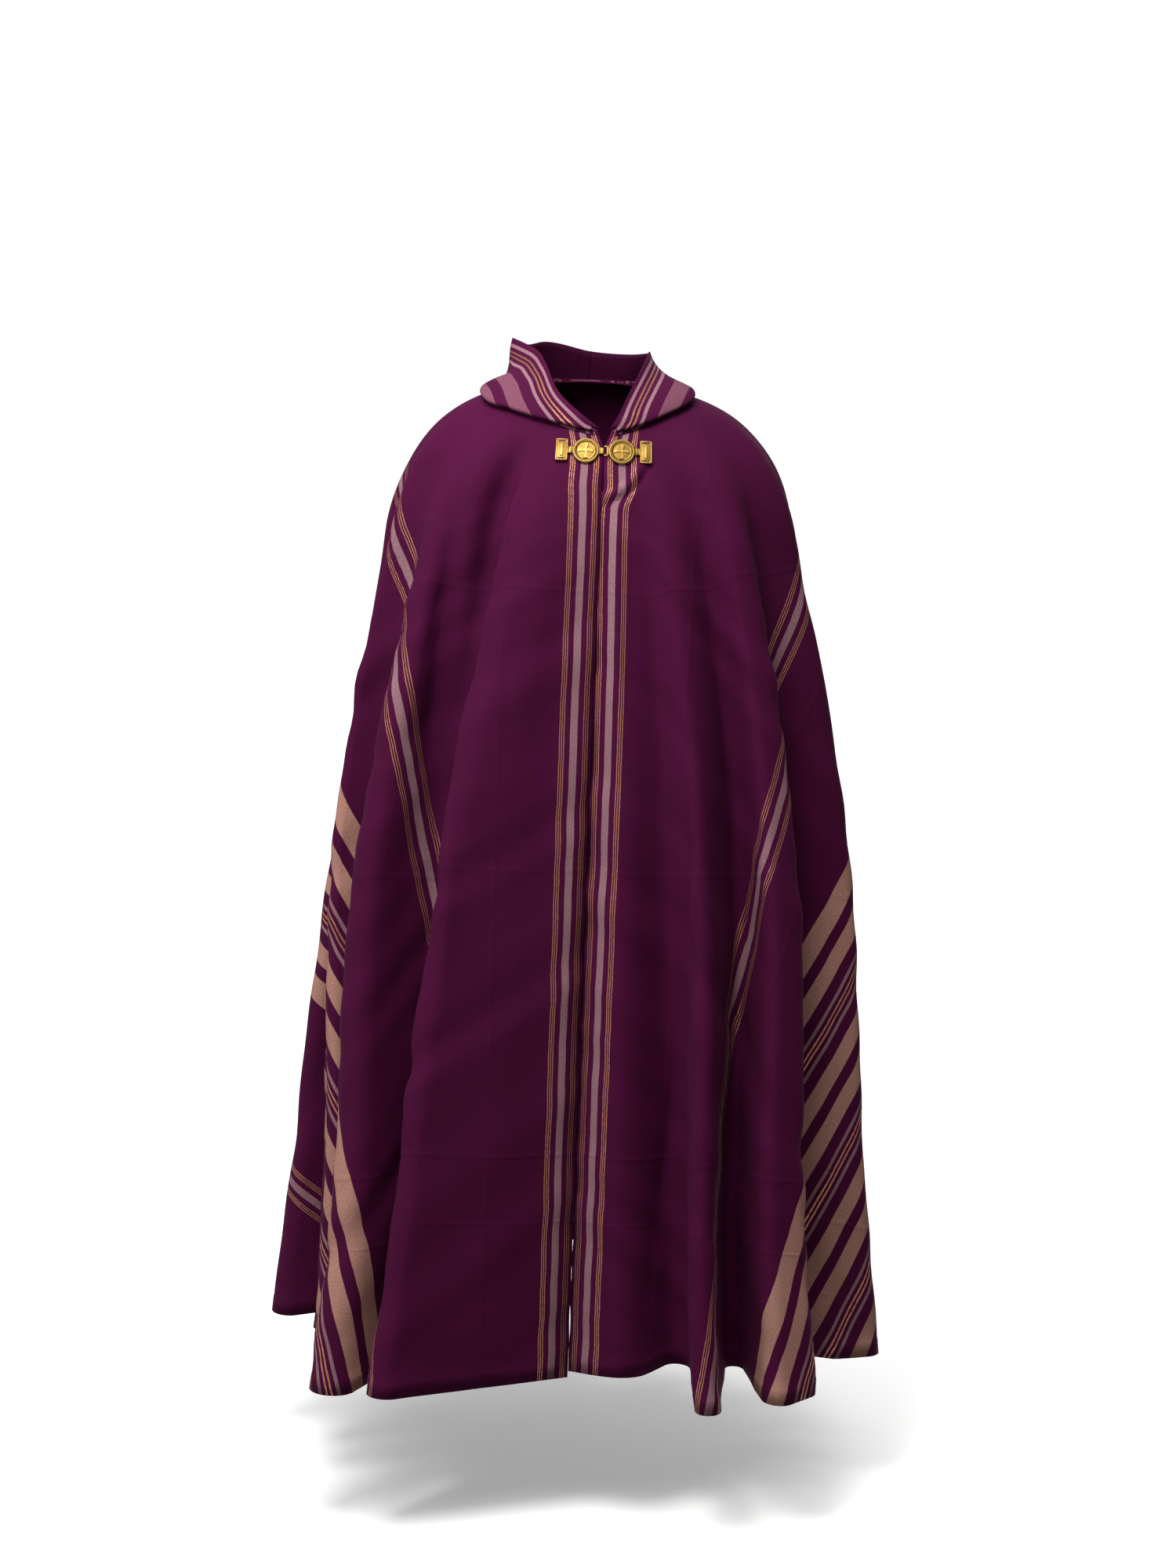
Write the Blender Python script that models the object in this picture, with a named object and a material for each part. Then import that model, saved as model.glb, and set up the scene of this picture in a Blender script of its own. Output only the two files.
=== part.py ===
"""A hooded cope: a half circle of cloth worn over the shoulders, with a thrown-back hood,
a neckband and a two-medallion metal clasp. Metres, +Z up, the wearer faces -Y.
The origin is the centre of the neck opening, level with the tops of the shoulders.

Every point of the cloth has two places. One is its turn: -1 at the wearer's right front
edge, 0 at the centre back and +1 at the wearer's left front edge. The other is its distance
down from the neck seam. The cape hangs from a smooth ring over the shoulders, and its folds
grow evenly from there to the hem."""

import math

import bmesh
import bpy
import numpy as np
from mathutils import Matrix, Vector

# ---------------------------------------------------------------- driving sizes
WALL = 0.002                 # cloth of the cape, hood and neckband
SEAM_GAP = 0.0003            # between pieces sewn to each other
FRONT_X = 0.019              # the front opening lies this far to the wearer's left
FRONT_HALF_GAP = 0.0006      # half of the gap between the two front edges
FOLD_START = 0.05            # down from the neck seam, where the folds begin
FOLD_GROWTH = 0.85           # below 1 the folds open sooner, near the shoulders
THROAT_HALF_GAP = 0.010      # half of the V between the fronts at the neck seam
THROAT_DEPTH = 0.030         # where the V closes, down from the neck seam
BELOW_CLASP_GAP = 0.0012     # the fronts part a little below the clasp
BELOW_CLASP_DOWN = 0.085     # the middle of that parting, down from the neck seam
BELOW_CLASP_SPREAD = 0.018
FRONT_TURN = 0.92            # the front edges' parting fades out by this turn

FACET_GAP = 0.0004           # more room where flat facets lie over a curve
BAND_LIFT = WALL + SEAM_GAP + FACET_GAP  # the neckband lies on the cape's neck edge
BAND_FRONT_TURN = 0.975      # the neckband stops short of the front edges
BAND_TOP = 0.002             # its upper edge, down from the neck seam
BAND_SIDE_DOWN = 0.026       # how far down the neckband reaches at the sides
BAND_FRONT_DOWN = 0.0105     # and at the two front ends

HOOD_SEAM_DOWN = 0.004       # the hood is sewn over the top of the neckband
HOOD_LIFT = 2 * (WALL + SEAM_GAP + FACET_GAP)
HOOD_EASE = 0.018            # and stands off a little more the further down it lies
HOOD_UNDER_ROWS = 7
HOOD_UNDER_CROWDING = 1.6    # above 1 the rows lie closer together near the seam
HOOD_ROLL_ROWS = 5
HOOD_OVER_ROWS = 7
HOOD_COLUMNS = 25            # in each half
HOOD_SWELL = 0.42            # fullness of the over layer above its fold
HOOD_SWELL_RISE = 5.0        # its slope there, upward for each unit outward
HOOD_EDGE_LEAN = 0.38        # fullness below the face edge
HOOD_EDGE_FALL = 0.35        # its slope there, outward for each unit downward
# turn, depth of the fold down from the neck seam, radius of the fold, face edge x, y, z
HOOD = (
    (-0.960, 0.0085, 0.0024, 0.010, -0.132, -0.014),
    (-0.880, 0.0150, 0.0028, -0.014, -0.123, 0.004),
    (-0.760, 0.0390, 0.0030, -0.046, -0.094, 0.034),
    (-0.600, 0.0760, 0.0030, -0.068, -0.046, 0.078),
    (-0.480, 0.0630, 0.0030, -0.083, -0.002, 0.099),
    (-0.360, 0.0620, 0.0040, -0.118, 0.056, 0.118),
    (-0.280, 0.1000, 0.0080, -0.098, 0.080, 0.111),
    (-0.200, 0.1550, 0.0110, -0.074, 0.097, 0.117),
    (0.000, 0.2300, 0.0130, -0.004, 0.120, 0.107),
    (0.200, 0.1500, 0.0110, 0.052, 0.100, 0.103),
    (0.360, 0.0600, 0.0040, 0.077, 0.050, 0.102),
    (0.480, 0.0490, 0.0030, 0.079, 0.002, 0.100),
    (0.600, 0.0620, 0.0030, 0.069, -0.050, 0.075),
    (0.760, 0.0350, 0.0030, 0.049, -0.096, 0.030),
    (0.880, 0.0150, 0.0028, 0.038, -0.122, 0.004),
    (0.960, 0.0085, 0.0024, 0.028, -0.132, -0.014),
)

CLASP_Z = -0.048             # height of the clasp's middle line
CLASP_TURN = 0.9             # its place on the fronts, near enough to start from
CLASP_DOWN = 0.033
PLATE_AT = 0.058             # middles of the clasp's pieces, out from the front opening
MEDALLION_AT = 0.0246
PLATE_SIZE = (0.0165, 0.0345, 0.0022)
SLOT_SIZE = (0.0090, 0.0022)
SLOT_AT = 0.0140             # the slots' distance from the plate's middle
RIDGE_SIZE = (0.0075, 0.0200, 0.0008)
RIDGE_SINK = 0.0001          # how deep raised work sits in the metal below it
LINK_SIZE = (0.0100, 0.0016)  # height and thickness
LINK_BASE = 0.0004           # backs of the links above the medallions' backs
LINK_TRIM = 0.0012           # taken off a link's length where its ends meet at an angle
CATCH_SIZE = (0.0150, 0.0017)  # hook and eye: height and thickness
# medallion's turned profile, outside in: radius, height
MEDALLION_PROFILE = (
    (0.0178, 0.0000),
    (0.0185, 0.0006),
    (0.0185, 0.0016),
    (0.0172, 0.0027),
    (0.0160, 0.0027),
    (0.0150, 0.0021),
    (0.0142, 0.0021),
    (0.0134, 0.0013),
)
MEDALLION_SIDES = 32
CLASP_LIFT = 0.0031          # the medallions' backs, above the middle of the cape's wall
PLATE_LIFT = 0.0026          # and the plates' backs
CROSS_HEIGHT = 0.0011
CROSS_ARMS = ((0, 0.0098), (90, 0.0098), (180, 0.0098), (270, 0.0112))  # degrees, reach
CROSS_HALF_MIDDLE = 0.0007   # half width of the arms at the middle and at their ends
CROSS_HALF_END = 0.0026
LOOP_CENTRE = (0.0004, 0.0068)
LOOP_OUTER = 0.0034          # radii of the crescent at the head of the cross
LOOP_INNER = 0.0020

# Smooth rings that the cape falls over, from the neck seam to the breast, and the hem's own ring.
# half_width, aside, back_y, front_y, back_z, side_z, front_z
NECK_RING = (0.085, 0.0, 0.073, -0.117, 0.060, 0.050, -0.017)
CROWN_RING = (0.202, 0.002, 0.112, -0.140, 0.046, 0.036, -0.045)
SHOULDER_RING = (0.278, 0.002, 0.147, -0.155, -0.020, -0.028, -0.100)
BREAST_RING = (0.296, -0.006, 0.160, -0.165, -0.120, -0.155, -0.170)
HEM_RING = (0.400, 0.0, 0.350, -0.255, -1.325, -1.325, -1.300)
ELBOW_RIGHT = 0.044          # the wearer's arms push the cloth out below the breast
ELBOW_LEFT = 0.030
ELBOW_SHARE = 0.38           # their place between breast and hem, and its spread
ELBOW_SPREAD = 0.40
ELBOW_TOP = math.exp(-((ELBOW_SHARE / ELBOW_SPREAD) ** 2))

# The hem seen from above is a belt laid round pins, each crest outside it and each valley inside.
# The belt starts at the wearer's right front edge and ends at the left one.
HEM_START = (0.0135, -0.262, -1.292)
HEM_END = (0.0185, -0.262, -1.292)
# way round the pin, x, y, radius, height of the hem there
CREST, VALLEY = -1, 1
HEM_PINS = (
    (CREST, -0.232, -0.332, 0.026, -1.332),
    (VALLEY, -0.196, -0.215, 0.014, -1.318),
    (CREST, -0.306, -0.300, 0.032, -1.330),
    (VALLEY, -0.240, -0.150, 0.014, -1.318),
    (CREST, -0.330, -0.150, 0.020, -1.330),
    (VALLEY, -0.258, -0.075, 0.014, -1.318),
    (CREST, -0.340, -0.062, 0.019, -1.325),
    (VALLEY, -0.266, 0.006, 0.014, -1.315),
    (CREST, -0.404, 0.018, 0.028, -1.328),
    (VALLEY, -0.332, 0.125, 0.020, -1.312),
    (CREST, -0.362, 0.200, 0.034, -1.320),
    (VALLEY, -0.262, 0.238, 0.025, -1.312),
    (CREST, -0.205, 0.325, 0.036, -1.320),
    (VALLEY, -0.098, 0.328, 0.030, -1.315),
    (CREST, -0.005, 0.372, 0.040, -1.322),
    (VALLEY, 0.085, 0.318, 0.020, -1.315),
    (CREST, 0.175, 0.352, 0.028, -1.322),
    (VALLEY, 0.218, 0.258, 0.016, -1.315),
    (CREST, 0.318, 0.275, 0.028, -1.322),
    (VALLEY, 0.306, 0.170, 0.016, -1.315),
    (CREST, 0.408, 0.165, 0.026, -1.322),
    (VALLEY, 0.358, 0.072, 0.015, -1.315),
    (CREST, 0.432, 0.035, 0.018, -1.322),
    (VALLEY, 0.368, -0.030, 0.014, -1.318),
    (CREST, 0.440, -0.085, 0.024, -1.326),
    (CREST, 0.392, -0.100, 0.022, -1.326),
    (VALLEY, 0.305, -0.140, 0.014, -1.318),
    (CREST, 0.333, -0.262, 0.024, -1.328),
    (CREST, 0.304, -0.283, 0.022, -1.332),
    (VALLEY, 0.246, -0.205, 0.014, -1.318),
    (CREST, 0.203, -0.322, 0.017, -1.337),
    (VALLEY, 0.163, -0.256, 0.022, -1.302),
    (CREST, 0.085, -0.240, 0.045, -1.308),
)
ARC_STEP = math.radians(32)  # columns round a pin
RUN_STEP = 0.075             # columns along a straight run
UPPER_ROWS = 6               # neck seam to breast
LOWER_ROWS = 8               # breast to hem
FINE_ROWS = 40               # neck seam to breast, where other pieces are laid on the cape
DOWN_STEP = 0.002            # steps for slopes on the cape, in metres and in turn
TURN_STEP = 0.004


UP = np.array([0.0, 0.0, 1.0])


# ---------------------------------------------------------------- small helpers
def unit(v):
    return v / np.linalg.norm(v, axis=-1, keepdims=True)


def left_of(d):
    return np.array([-d[1], d[0]])


def even_angle(half_width, half_depth, turn):
    """The angle from the back at which an oval has used the turn's share of its half length."""
    angles = np.linspace(0, np.pi, 181)
    steps = np.hypot(half_width * np.cos(angles), half_depth * np.sin(angles))
    lengths = np.concatenate([[0.0], np.cumsum((steps[1:] + steps[:-1]) / 2)])
    return np.sign(turn) * np.interp(np.abs(turn), lengths / lengths[-1], angles)


def ring_point(ring, turn):
    """A point of a smooth oval ring at a turn from -1 to 1."""
    half_width, aside, back_y, front_y, back_z, side_z, front_z = ring
    half_depth = (back_y - front_y) / 2
    angle = even_angle(half_width, half_depth, turn)
    c = np.cos(angle)
    x = aside + half_width * np.sin(angle) + (FRONT_X - aside) * np.maximum(-c, 0) ** 3
    y = (back_y + front_y) / 2 + half_depth * c
    z = side_z + (back_z - side_z) * np.maximum(c, 0) ** 2
    z = z + (front_z - side_z) * np.maximum(-c, 0) ** 2
    return np.stack([x, y, z], axis=-1)


# ---------------------------------------------------------------- the hem's belt
def belt_directions(pins, start, end):
    """Direction of each straight run of the belt, pin to pin."""
    stops = [(start[0], start[1], 0.0)]
    stops += [(x, y, turn * radius) for turn, x, y, radius, _ in pins]
    stops += [(end[0], end[1], 0.0)]
    runs = []
    for (x0, y0, r0), (x1, y1, r1) in zip(stops, stops[1:]):
        across = np.array([x1 - x0, y1 - y0])
        length = np.linalg.norm(across)
        lean = math.asin((r1 - r0) / length)
        c, s = math.cos(lean), math.sin(lean)
        d = np.array([across[0] * c + across[1] * s, across[1] * c - across[0] * s]) / length
        runs.append(d)
    return stops, runs


def belt_points(pins, start, end, arc_step, run_step):
    """Points (x, y, z) of the hem from one front edge to the other."""
    stops, runs = belt_directions(pins, start, end)
    heights = [start[2]] + [pin[4] for pin in pins] + [end[2]]
    corners = [[np.array([start[0], start[1], start[2]])]]
    for i in range(1, len(stops) - 1):
        x, y, radius = stops[i]
        first = math.atan2(runs[i - 1][1], runs[i - 1][0])
        last = math.atan2(runs[i][1], runs[i][0])
        sweep = (last - first) % (2 * math.pi)
        if radius < 0:
            sweep -= 2 * math.pi
        count = max(2, round(abs(sweep) / arc_step))
        arc = []
        for k in range(count + 1):
            heading = first + sweep * k / count
            side = left_of((math.cos(heading), math.sin(heading)))
            arc.append(np.array([x - radius * side[0], y - radius * side[1], heights[i]]))
        corners.append(arc)
    corners.append([np.array([end[0], end[1], end[2]])])
    points = []
    for here, following in zip(corners, corners[1:]):
        points += here
        a, b = here[-1], following[0]
        count = max(1, round(np.linalg.norm(b - a) / run_step))
        points += [a + (b - a) * k / count for k in range(1, count)]
    points += corners[-1]
    return np.array(points)


def turns_of(points):
    """Each hem point's turn, from its share of the hem's whole length."""
    steps = np.linalg.norm(np.diff(points, axis=0), axis=1)
    along = np.concatenate([[0.0], np.cumsum(steps)])
    return 2 * along / along[-1] - 1


# ---------------------------------------------------------------- the cape's surface
HEM = belt_points(HEM_PINS, HEM_START, HEM_END, ARC_STEP, RUN_STEP)
HEM_TURNS = turns_of(HEM)


def hem_at(turns):
    """Hem points at any turns."""
    return np.stack([np.interp(turns, HEM_TURNS, HEM[:, axis]) for axis in range(3)], axis=-1)


def smooth_column(turn, upper_rows, lower_rows):
    """The cape without its folds: a curve over the shoulder, then a straight fall."""
    neck, crown = ring_point(NECK_RING, turn), ring_point(CROWN_RING, turn)
    shoulder, breast = ring_point(SHOULDER_RING, turn), ring_point(BREAST_RING, turn)
    hem = ring_point(HEM_RING, turn)
    rows = []
    for k in range(upper_rows):
        t = k / upper_rows
        u = 1 - t
        rows.append(u**3 * neck + 3 * u * u * t * crown + 3 * u * t * t * shoulder + t**3 * breast)
    elbow = np.where(turn < 0, -ELBOW_RIGHT, ELBOW_LEFT) * np.sin(np.pi * turn) ** 2
    for k in range(lower_rows + 1):
        share = k / lower_rows
        row = breast + (hem - breast) * share
        spread = math.exp(-(((share - ELBOW_SHARE) / ELBOW_SPREAD) ** 2))
        row[..., 0] += elbow * (spread - (1 - share) * ELBOW_TOP)
        rows.append(row)
    return np.array(rows)


def path_lengths(rows):
    """Distance from the neck seam down each column, for an array of rows x columns x 3."""
    steps = np.linalg.norm(np.diff(rows, axis=0), axis=2)
    return np.concatenate([np.zeros((1, rows.shape[1])), np.cumsum(steps, axis=0)])


def part_the_fronts(surface, turns, down):
    """Open the fronts in a V above the clasp and keep their edges just apart below it."""
    throat = THROAT_HALF_GAP * np.clip(1 - down / THROAT_DEPTH, 0, 1)
    away = (down - BELOW_CLASP_DOWN) / BELOW_CLASP_SPREAD
    below_clasp = BELOW_CLASP_GAP * np.exp(-(away**2))
    near = np.clip((np.abs(turns) - FRONT_TURN) / (1 - FRONT_TURN), 0, 1)
    surface[..., 0] += np.sign(turns) * near * (FRONT_HALF_GAP + throat + below_clasp)
    return surface


def cape_surface(turns, upper_rows, lower_rows):
    """Rows x columns x 3 points on the middle of the cape's wall."""
    rows = smooth_column(turns, upper_rows, lower_rows)
    down = path_lengths(rows)
    share = np.clip((down - FOLD_START) / (down[-1] - FOLD_START), 0, 1) ** FOLD_GROWTH
    surface = rows + share[..., None] * (hem_at(turns) - rows[-1])
    return part_the_fronts(surface, turns, down)


def cape_point(turns, downs):
    """Points of the cape near the neck, at turns and at distances from the neck seam."""
    turns, downs = np.broadcast_arrays(np.asarray(turns, float), np.asarray(downs, float))
    columns = cape_surface(turns.ravel(), FINE_ROWS, LOWER_ROWS)
    lengths = path_lengths(columns)
    points = np.empty((turns.size, 3))
    for i, down in enumerate(downs.ravel()):
        for axis in range(3):
            points[i, axis] = np.interp(down, lengths[:, i], columns[:, i, axis])
    return points.reshape(turns.shape + (3,))


def cape_frame(turns, downs):
    """Point, outward normal and downward direction on the cape."""
    turns, downs = np.asarray(turns, float), np.asarray(downs, float)
    point = cape_point(turns, downs)
    downward = unit(cape_point(turns, downs + DOWN_STEP) - point)
    before = np.maximum(turns - TURN_STEP, -1)
    after = np.minimum(turns + TURN_STEP, 1)
    along = cape_point(after, downs) - cape_point(before, downs)
    return point, unit(np.cross(along, downward)), downward


def grid_normals(grid):
    """Unit normals of a grid whose rows run down and whose columns run with the turn."""
    down = np.gradient(grid, axis=0)
    round_ = np.gradient(grid, axis=1)
    return unit(np.cross(round_, down))


# ---------------------------------------------------------------- meshes
def wall_faces(rows, columns):
    """Faces of a wall with an outer grid, then an inner grid, each rows x columns."""
    inner = rows * columns
    faces = []
    for r in range(rows - 1):
        for c in range(columns - 1):
            a = r * columns + c
            faces.append((a, a + 1, a + columns + 1, a + columns))
            b = a + inner
            faces.append((b, b + columns, b + columns + 1, b + 1))
    rim = [c for c in range(columns)]
    rim += [r * columns + columns - 1 for r in range(1, rows)]
    rim += [(rows - 1) * columns + c for c in range(columns - 2, -1, -1)]
    rim += [r * columns for r in range(rows - 2, 0, -1)]
    for a, b in zip(rim, rim[1:] + rim[:1]):
        faces.append((b, a, a + inner, b + inner))
    return faces


def add_object(name, points, faces, look):
    mesh = bpy.data.meshes.new(name)
    mesh.from_pydata([tuple(p) for p in points], [], faces)
    mesh.update()
    mesh.shade_smooth()
    mesh.materials.append(look)
    thing = bpy.data.objects.new(name, mesh)
    bpy.context.scene.collection.objects.link(thing)
    return thing


def add_wall(name, grid, look, wall=WALL, normals=None):
    """A closed wall of the given thickness, half on each side of the grid."""
    if normals is None:
        normals = grid_normals(grid)
    outer = (grid + normals * wall / 2).reshape(-1, 3)
    inner = (grid - normals * wall / 2).reshape(-1, 3)
    faces = wall_faces(grid.shape[0], grid.shape[1])
    return add_object(name, np.concatenate([outer, inner]), faces, look)


def make_look(name, colour, roughness, metallic=0.0):
    look = bpy.data.materials.new(name)
    look.use_nodes = True
    shader = look.node_tree.nodes["Principled BSDF"]
    shader.inputs["Base Color"].default_value = (*colour, 1)
    shader.inputs["Roughness"].default_value = roughness
    shader.inputs["Metallic"].default_value = metallic
    return look


def smooth_table(rows, at, column):
    """A table's column read at any turn, by a smooth curve through its rows."""
    turns = np.array([row[0] for row in rows])
    values = np.array([row[column] for row in rows])
    slopes = np.gradient(values, turns)
    i = np.clip(np.searchsorted(turns, at) - 1, 0, len(turns) - 2)
    width = turns[i + 1] - turns[i]
    t = (at - turns[i]) / width
    start = (1 + 2 * t) * (1 - t) ** 2 * values[i] + t * (1 - t) ** 2 * width * slopes[i]
    end = t * t * (3 - 2 * t) * values[i + 1] + t * t * (t - 1) * width * slopes[i + 1]
    return start + end


def hood_turns():
    """Columns of the whole hood; the middle one is its seam."""
    reach = HOOD[-1][0]
    return np.linspace(-reach, reach, 2 * HOOD_COLUMNS - 1)


def hood_lift(down):
    """The under layer's height above the cape, which eases off down the back."""
    return (HOOD_LIFT + HOOD_EASE * down)[:, None]


def hood_surface(turns):
    """The hood thrown back: an under layer on the shoulders, a round fold, and an over layer
    that climbs back to the face edge."""
    depth, radius = smooth_table(HOOD, turns, 1), smooth_table(HOOD, turns, 2)
    edge = np.stack([smooth_table(HOOD, turns, k) for k in (3, 4, 5)], axis=-1)
    rows = []
    last_down = depth - radius
    for k in range(HOOD_UNDER_ROWS):
        share = (k / HOOD_UNDER_ROWS) ** HOOD_UNDER_CROWDING
        down = HOOD_SEAM_DOWN + (last_down - HOOD_SEAM_DOWN) * share
        point, normal, _ = cape_frame(turns, down)
        rows.append(point + normal * hood_lift(down))
    point, normal, downward = cape_frame(turns, last_down)
    centre = point + normal * (hood_lift(last_down) + radius[:, None])
    for k in range(HOOD_ROLL_ROWS):
        a = math.pi * k / (HOOD_ROLL_ROWS - 1)
        out = math.sin(a) * downward - math.cos(a) * normal
        rows.append(centre + radius[:, None] * out)
    start = rows[-1]
    reach = np.linalg.norm(edge - start, axis=1)[:, None]
    first = start + reach * HOOD_SWELL * unit(normal - HOOD_SWELL_RISE * downward)
    outward = unit(edge * np.array([1, 1, 0]))
    second = edge + reach * HOOD_EDGE_LEAN * unit(outward * HOOD_EDGE_FALL - UP)
    for k in range(1, HOOD_OVER_ROWS + 1):
        t = k / HOOD_OVER_ROWS
        u = 1 - t
        rows.append(u**3 * start + 3 * u * u * t * first + 3 * u * t * t * second + t**3 * edge)
    return np.array(rows)


def clear_scene():
    for thing in list(bpy.data.objects):
        bpy.data.objects.remove(thing, do_unlink=True)


def build_cape(look):
    grid = cape_surface(HEM_TURNS, UPPER_ROWS, LOWER_ROWS)
    return add_wall("cape", grid, look)


def band_down(turns):
    """How far down the neckband's lower edge lies."""
    front = np.maximum(-np.cos(np.pi * turns), 0) ** 8
    return BAND_SIDE_DOWN + (BAND_FRONT_DOWN - BAND_SIDE_DOWN) * front


def build_neckband(look):
    turns = np.linspace(-BAND_FRONT_TURN, BAND_FRONT_TURN, 2 * HOOD_COLUMNS - 1)
    rows, normals = [], []
    for share in (0.0, 0.5, 1.0):
        point, normal, _ = cape_frame(turns, BAND_TOP + (band_down(turns) - BAND_TOP) * share)
        rows.append(point + normal * BAND_LIFT)
        normals.append(normal)
    return add_wall("neckband", np.array(rows), look, normals=np.array(normals))


def build_hood(look):
    """Two halves that meet in a seam down the centre back."""
    grid = hood_surface(hood_turns())
    normals = grid_normals(grid)
    middle = HOOD_COLUMNS - 1
    aside = np.array([SEAM_GAP / 2, 0, 0])
    right, left = slice(0, middle + 1), slice(middle, None)
    add_wall("hood_right", grid[:, right] - aside, look, normals=normals[:, right])
    add_wall("hood_left", grid[:, left] + aside, look, normals=normals[:, left])


# ---------------------------------------------------------------- the clasp
def place_on_front(out, side, height, lift):
    """A matrix at a spot on the fronts: X runs level across the cloth and Z stands off it.
    The spot's turn and depth are found by steps down the slope to its place seen from ahead."""
    turn, down = side * CLASP_TURN, CLASP_DOWN
    goal = np.array([FRONT_X + side * out, height])
    for _ in range(12):
        here = cape_point(turn, down)[[0, 2]]
        back = -side * TURN_STEP
        by_turn = (cape_point(turn + back, down)[[0, 2]] - here) / back
        by_down = (cape_point(turn, down + DOWN_STEP)[[0, 2]] - here) / DOWN_STEP
        step = np.linalg.solve(np.array([by_turn, by_down]).T, goal - here)
        turn = side * min(abs(turn + step[0]), 1)
        down = down + step[1]
    point, normal, _ = cape_frame(turn, down)
    across = unit(np.cross(UP, normal))
    up = np.cross(normal, across)
    place = Matrix.Identity(4)
    for axis, column in enumerate((across, up, normal)):
        place.col[axis] = (*column, 0)
    place.translation = Vector(point + normal * lift)
    return place


def box_mesh(name, size, base=0.0):
    """A box centred in X and Y that rises from its base in Z."""
    mesh = bpy.data.meshes.new(name)
    shape = bmesh.new()
    bmesh.ops.create_cube(shape, size=1)
    for v in shape.verts:
        v.co = Vector((v.co.x * size[0], v.co.y * size[1], (v.co.z + 0.5) * size[2] + base))
    shape.to_mesh(mesh)
    shape.free()
    return mesh


def add_shape(name, mesh, place, look):
    thing = bpy.data.objects.new(name, mesh)
    thing.matrix_world = place
    mesh.materials.append(look)
    bpy.context.scene.collection.objects.link(thing)
    return thing


def join_to(thing, other, operation):
    """Cut or unite another shape, which stays in the scene as a hidden tool."""
    step = thing.modifiers.new(other.name, "BOOLEAN")
    step.object = other
    step.operation = operation
    other.hide_render = True
    other.display_type = "WIRE"


def build_plate(side_name, side, look):
    place = place_on_front(PLATE_AT, side, CLASP_Z, PLATE_LIFT)
    plate = add_shape("plate_" + side_name, box_mesh("plate", PLATE_SIZE), place, look)
    for at, name in ((SLOT_AT, "top"), (-SLOT_AT, "bottom")):
        size = (*SLOT_SIZE, 3 * PLATE_SIZE[2])
        shift = place @ Matrix.Translation((0, at, -PLATE_SIZE[2]))
        slot = add_shape(f"slot_{side_name}_{name}", box_mesh("slot", size), shift, look)
        join_to(plate, slot, "DIFFERENCE")
    ridge_mesh = box_mesh("ridge", RIDGE_SIZE, PLATE_SIZE[2] - RIDGE_SINK)
    ridge = add_shape("ridge_" + side_name, ridge_mesh, place, look)
    join_to(plate, ridge, "UNION")


def turned_mesh(name, profile, sides):
    """A closed round shape from a profile of (radius, height), with a flat back and face."""
    points, faces = [], []
    for radius, height in profile:
        for k in range(sides):
            a = 2 * math.pi * (k + 0.5) / sides
            points.append((radius * math.cos(a), radius * math.sin(a), height))
    for ring in range(len(profile) - 1):
        for k in range(sides):
            a, b = ring * sides + k, ring * sides + (k + 1) % sides
            faces.append((a, b, b + sides, a + sides))
    faces.append(tuple(range(sides))[::-1])
    faces.append(tuple((len(profile) - 1) * sides + k for k in range(sides)))
    mesh = bpy.data.meshes.new(name)
    mesh.from_pydata(points, [], faces)
    mesh.update()
    return mesh


def cross_outline():
    """A cross with arms that flare from a narrow middle; the foot is the longest."""
    points = []
    for degrees, reach in CROSS_ARMS:
        a = math.radians(degrees)
        out = np.array([math.cos(a), math.sin(a)])
        side = left_of(out)
        corners = (
            (2 * CROSS_HALF_MIDDLE, CROSS_HALF_MIDDLE),
            (0.6 * reach, 1.5 * CROSS_HALF_MIDDLE),
            (reach, CROSS_HALF_END),
        )
        points += [out * along - side * half for along, half in corners]
        points += [out * along + side * half for along, half in corners[::-1]]
    return points


def raised_mesh(name, outline, base, height):
    """A flat outline drawn up from its base."""
    n = len(outline)
    points = [(x, y, base) for x, y in outline] + [(x, y, base + height) for x, y in outline]
    faces = [tuple(range(n))[::-1], tuple(range(n, 2 * n))]
    faces += [(k, (k + 1) % n, (k + 1) % n + n, k + n) for k in range(n)]
    mesh = bpy.data.meshes.new(name)
    mesh.from_pydata(points, [], faces)
    mesh.update()
    return mesh


def loop_outline():
    """The small loop at the head of the cross: a crescent, round on its outer side."""
    rims = []
    for radius in (LOOP_OUTER, LOOP_INNER):
        angles = [math.radians(20 * k - 80) for k in range(9)]
        x, y = LOOP_CENTRE
        rims.append([(x + radius * math.cos(a), y + radius * math.sin(a)) for a in angles])
    outside, inside = rims
    return outside + inside[::-1]


def build_medallion(side_name, side, look):
    place = place_on_front(MEDALLION_AT, side, CLASP_Z, CLASP_LIFT)
    disc = turned_mesh("medallion", MEDALLION_PROFILE, MEDALLION_SIDES)
    medallion = add_shape("medallion_" + side_name, disc, place, look)
    face = MEDALLION_PROFILE[-1][1] - RIDGE_SINK
    for name, outline in (("cross", cross_outline()), ("loop", loop_outline())):
        mesh = raised_mesh(name, outline, face, CROSS_HEIGHT)
        tool = add_shape(f"{name}_{side_name}", mesh, place, look)
        join_to(medallion, tool, "UNION")


def span_place(start, end, outward):
    """A matrix midway between two points: its X runs from one to the other."""
    across = (end - start).normalized()
    up = outward.cross(across).normalized()
    place = Matrix.Identity(4)
    for axis, column in enumerate((across, up, across.cross(up))):
        place.col[axis] = (*column, 0)
    place.translation = (start + end) / 2
    return place


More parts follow.
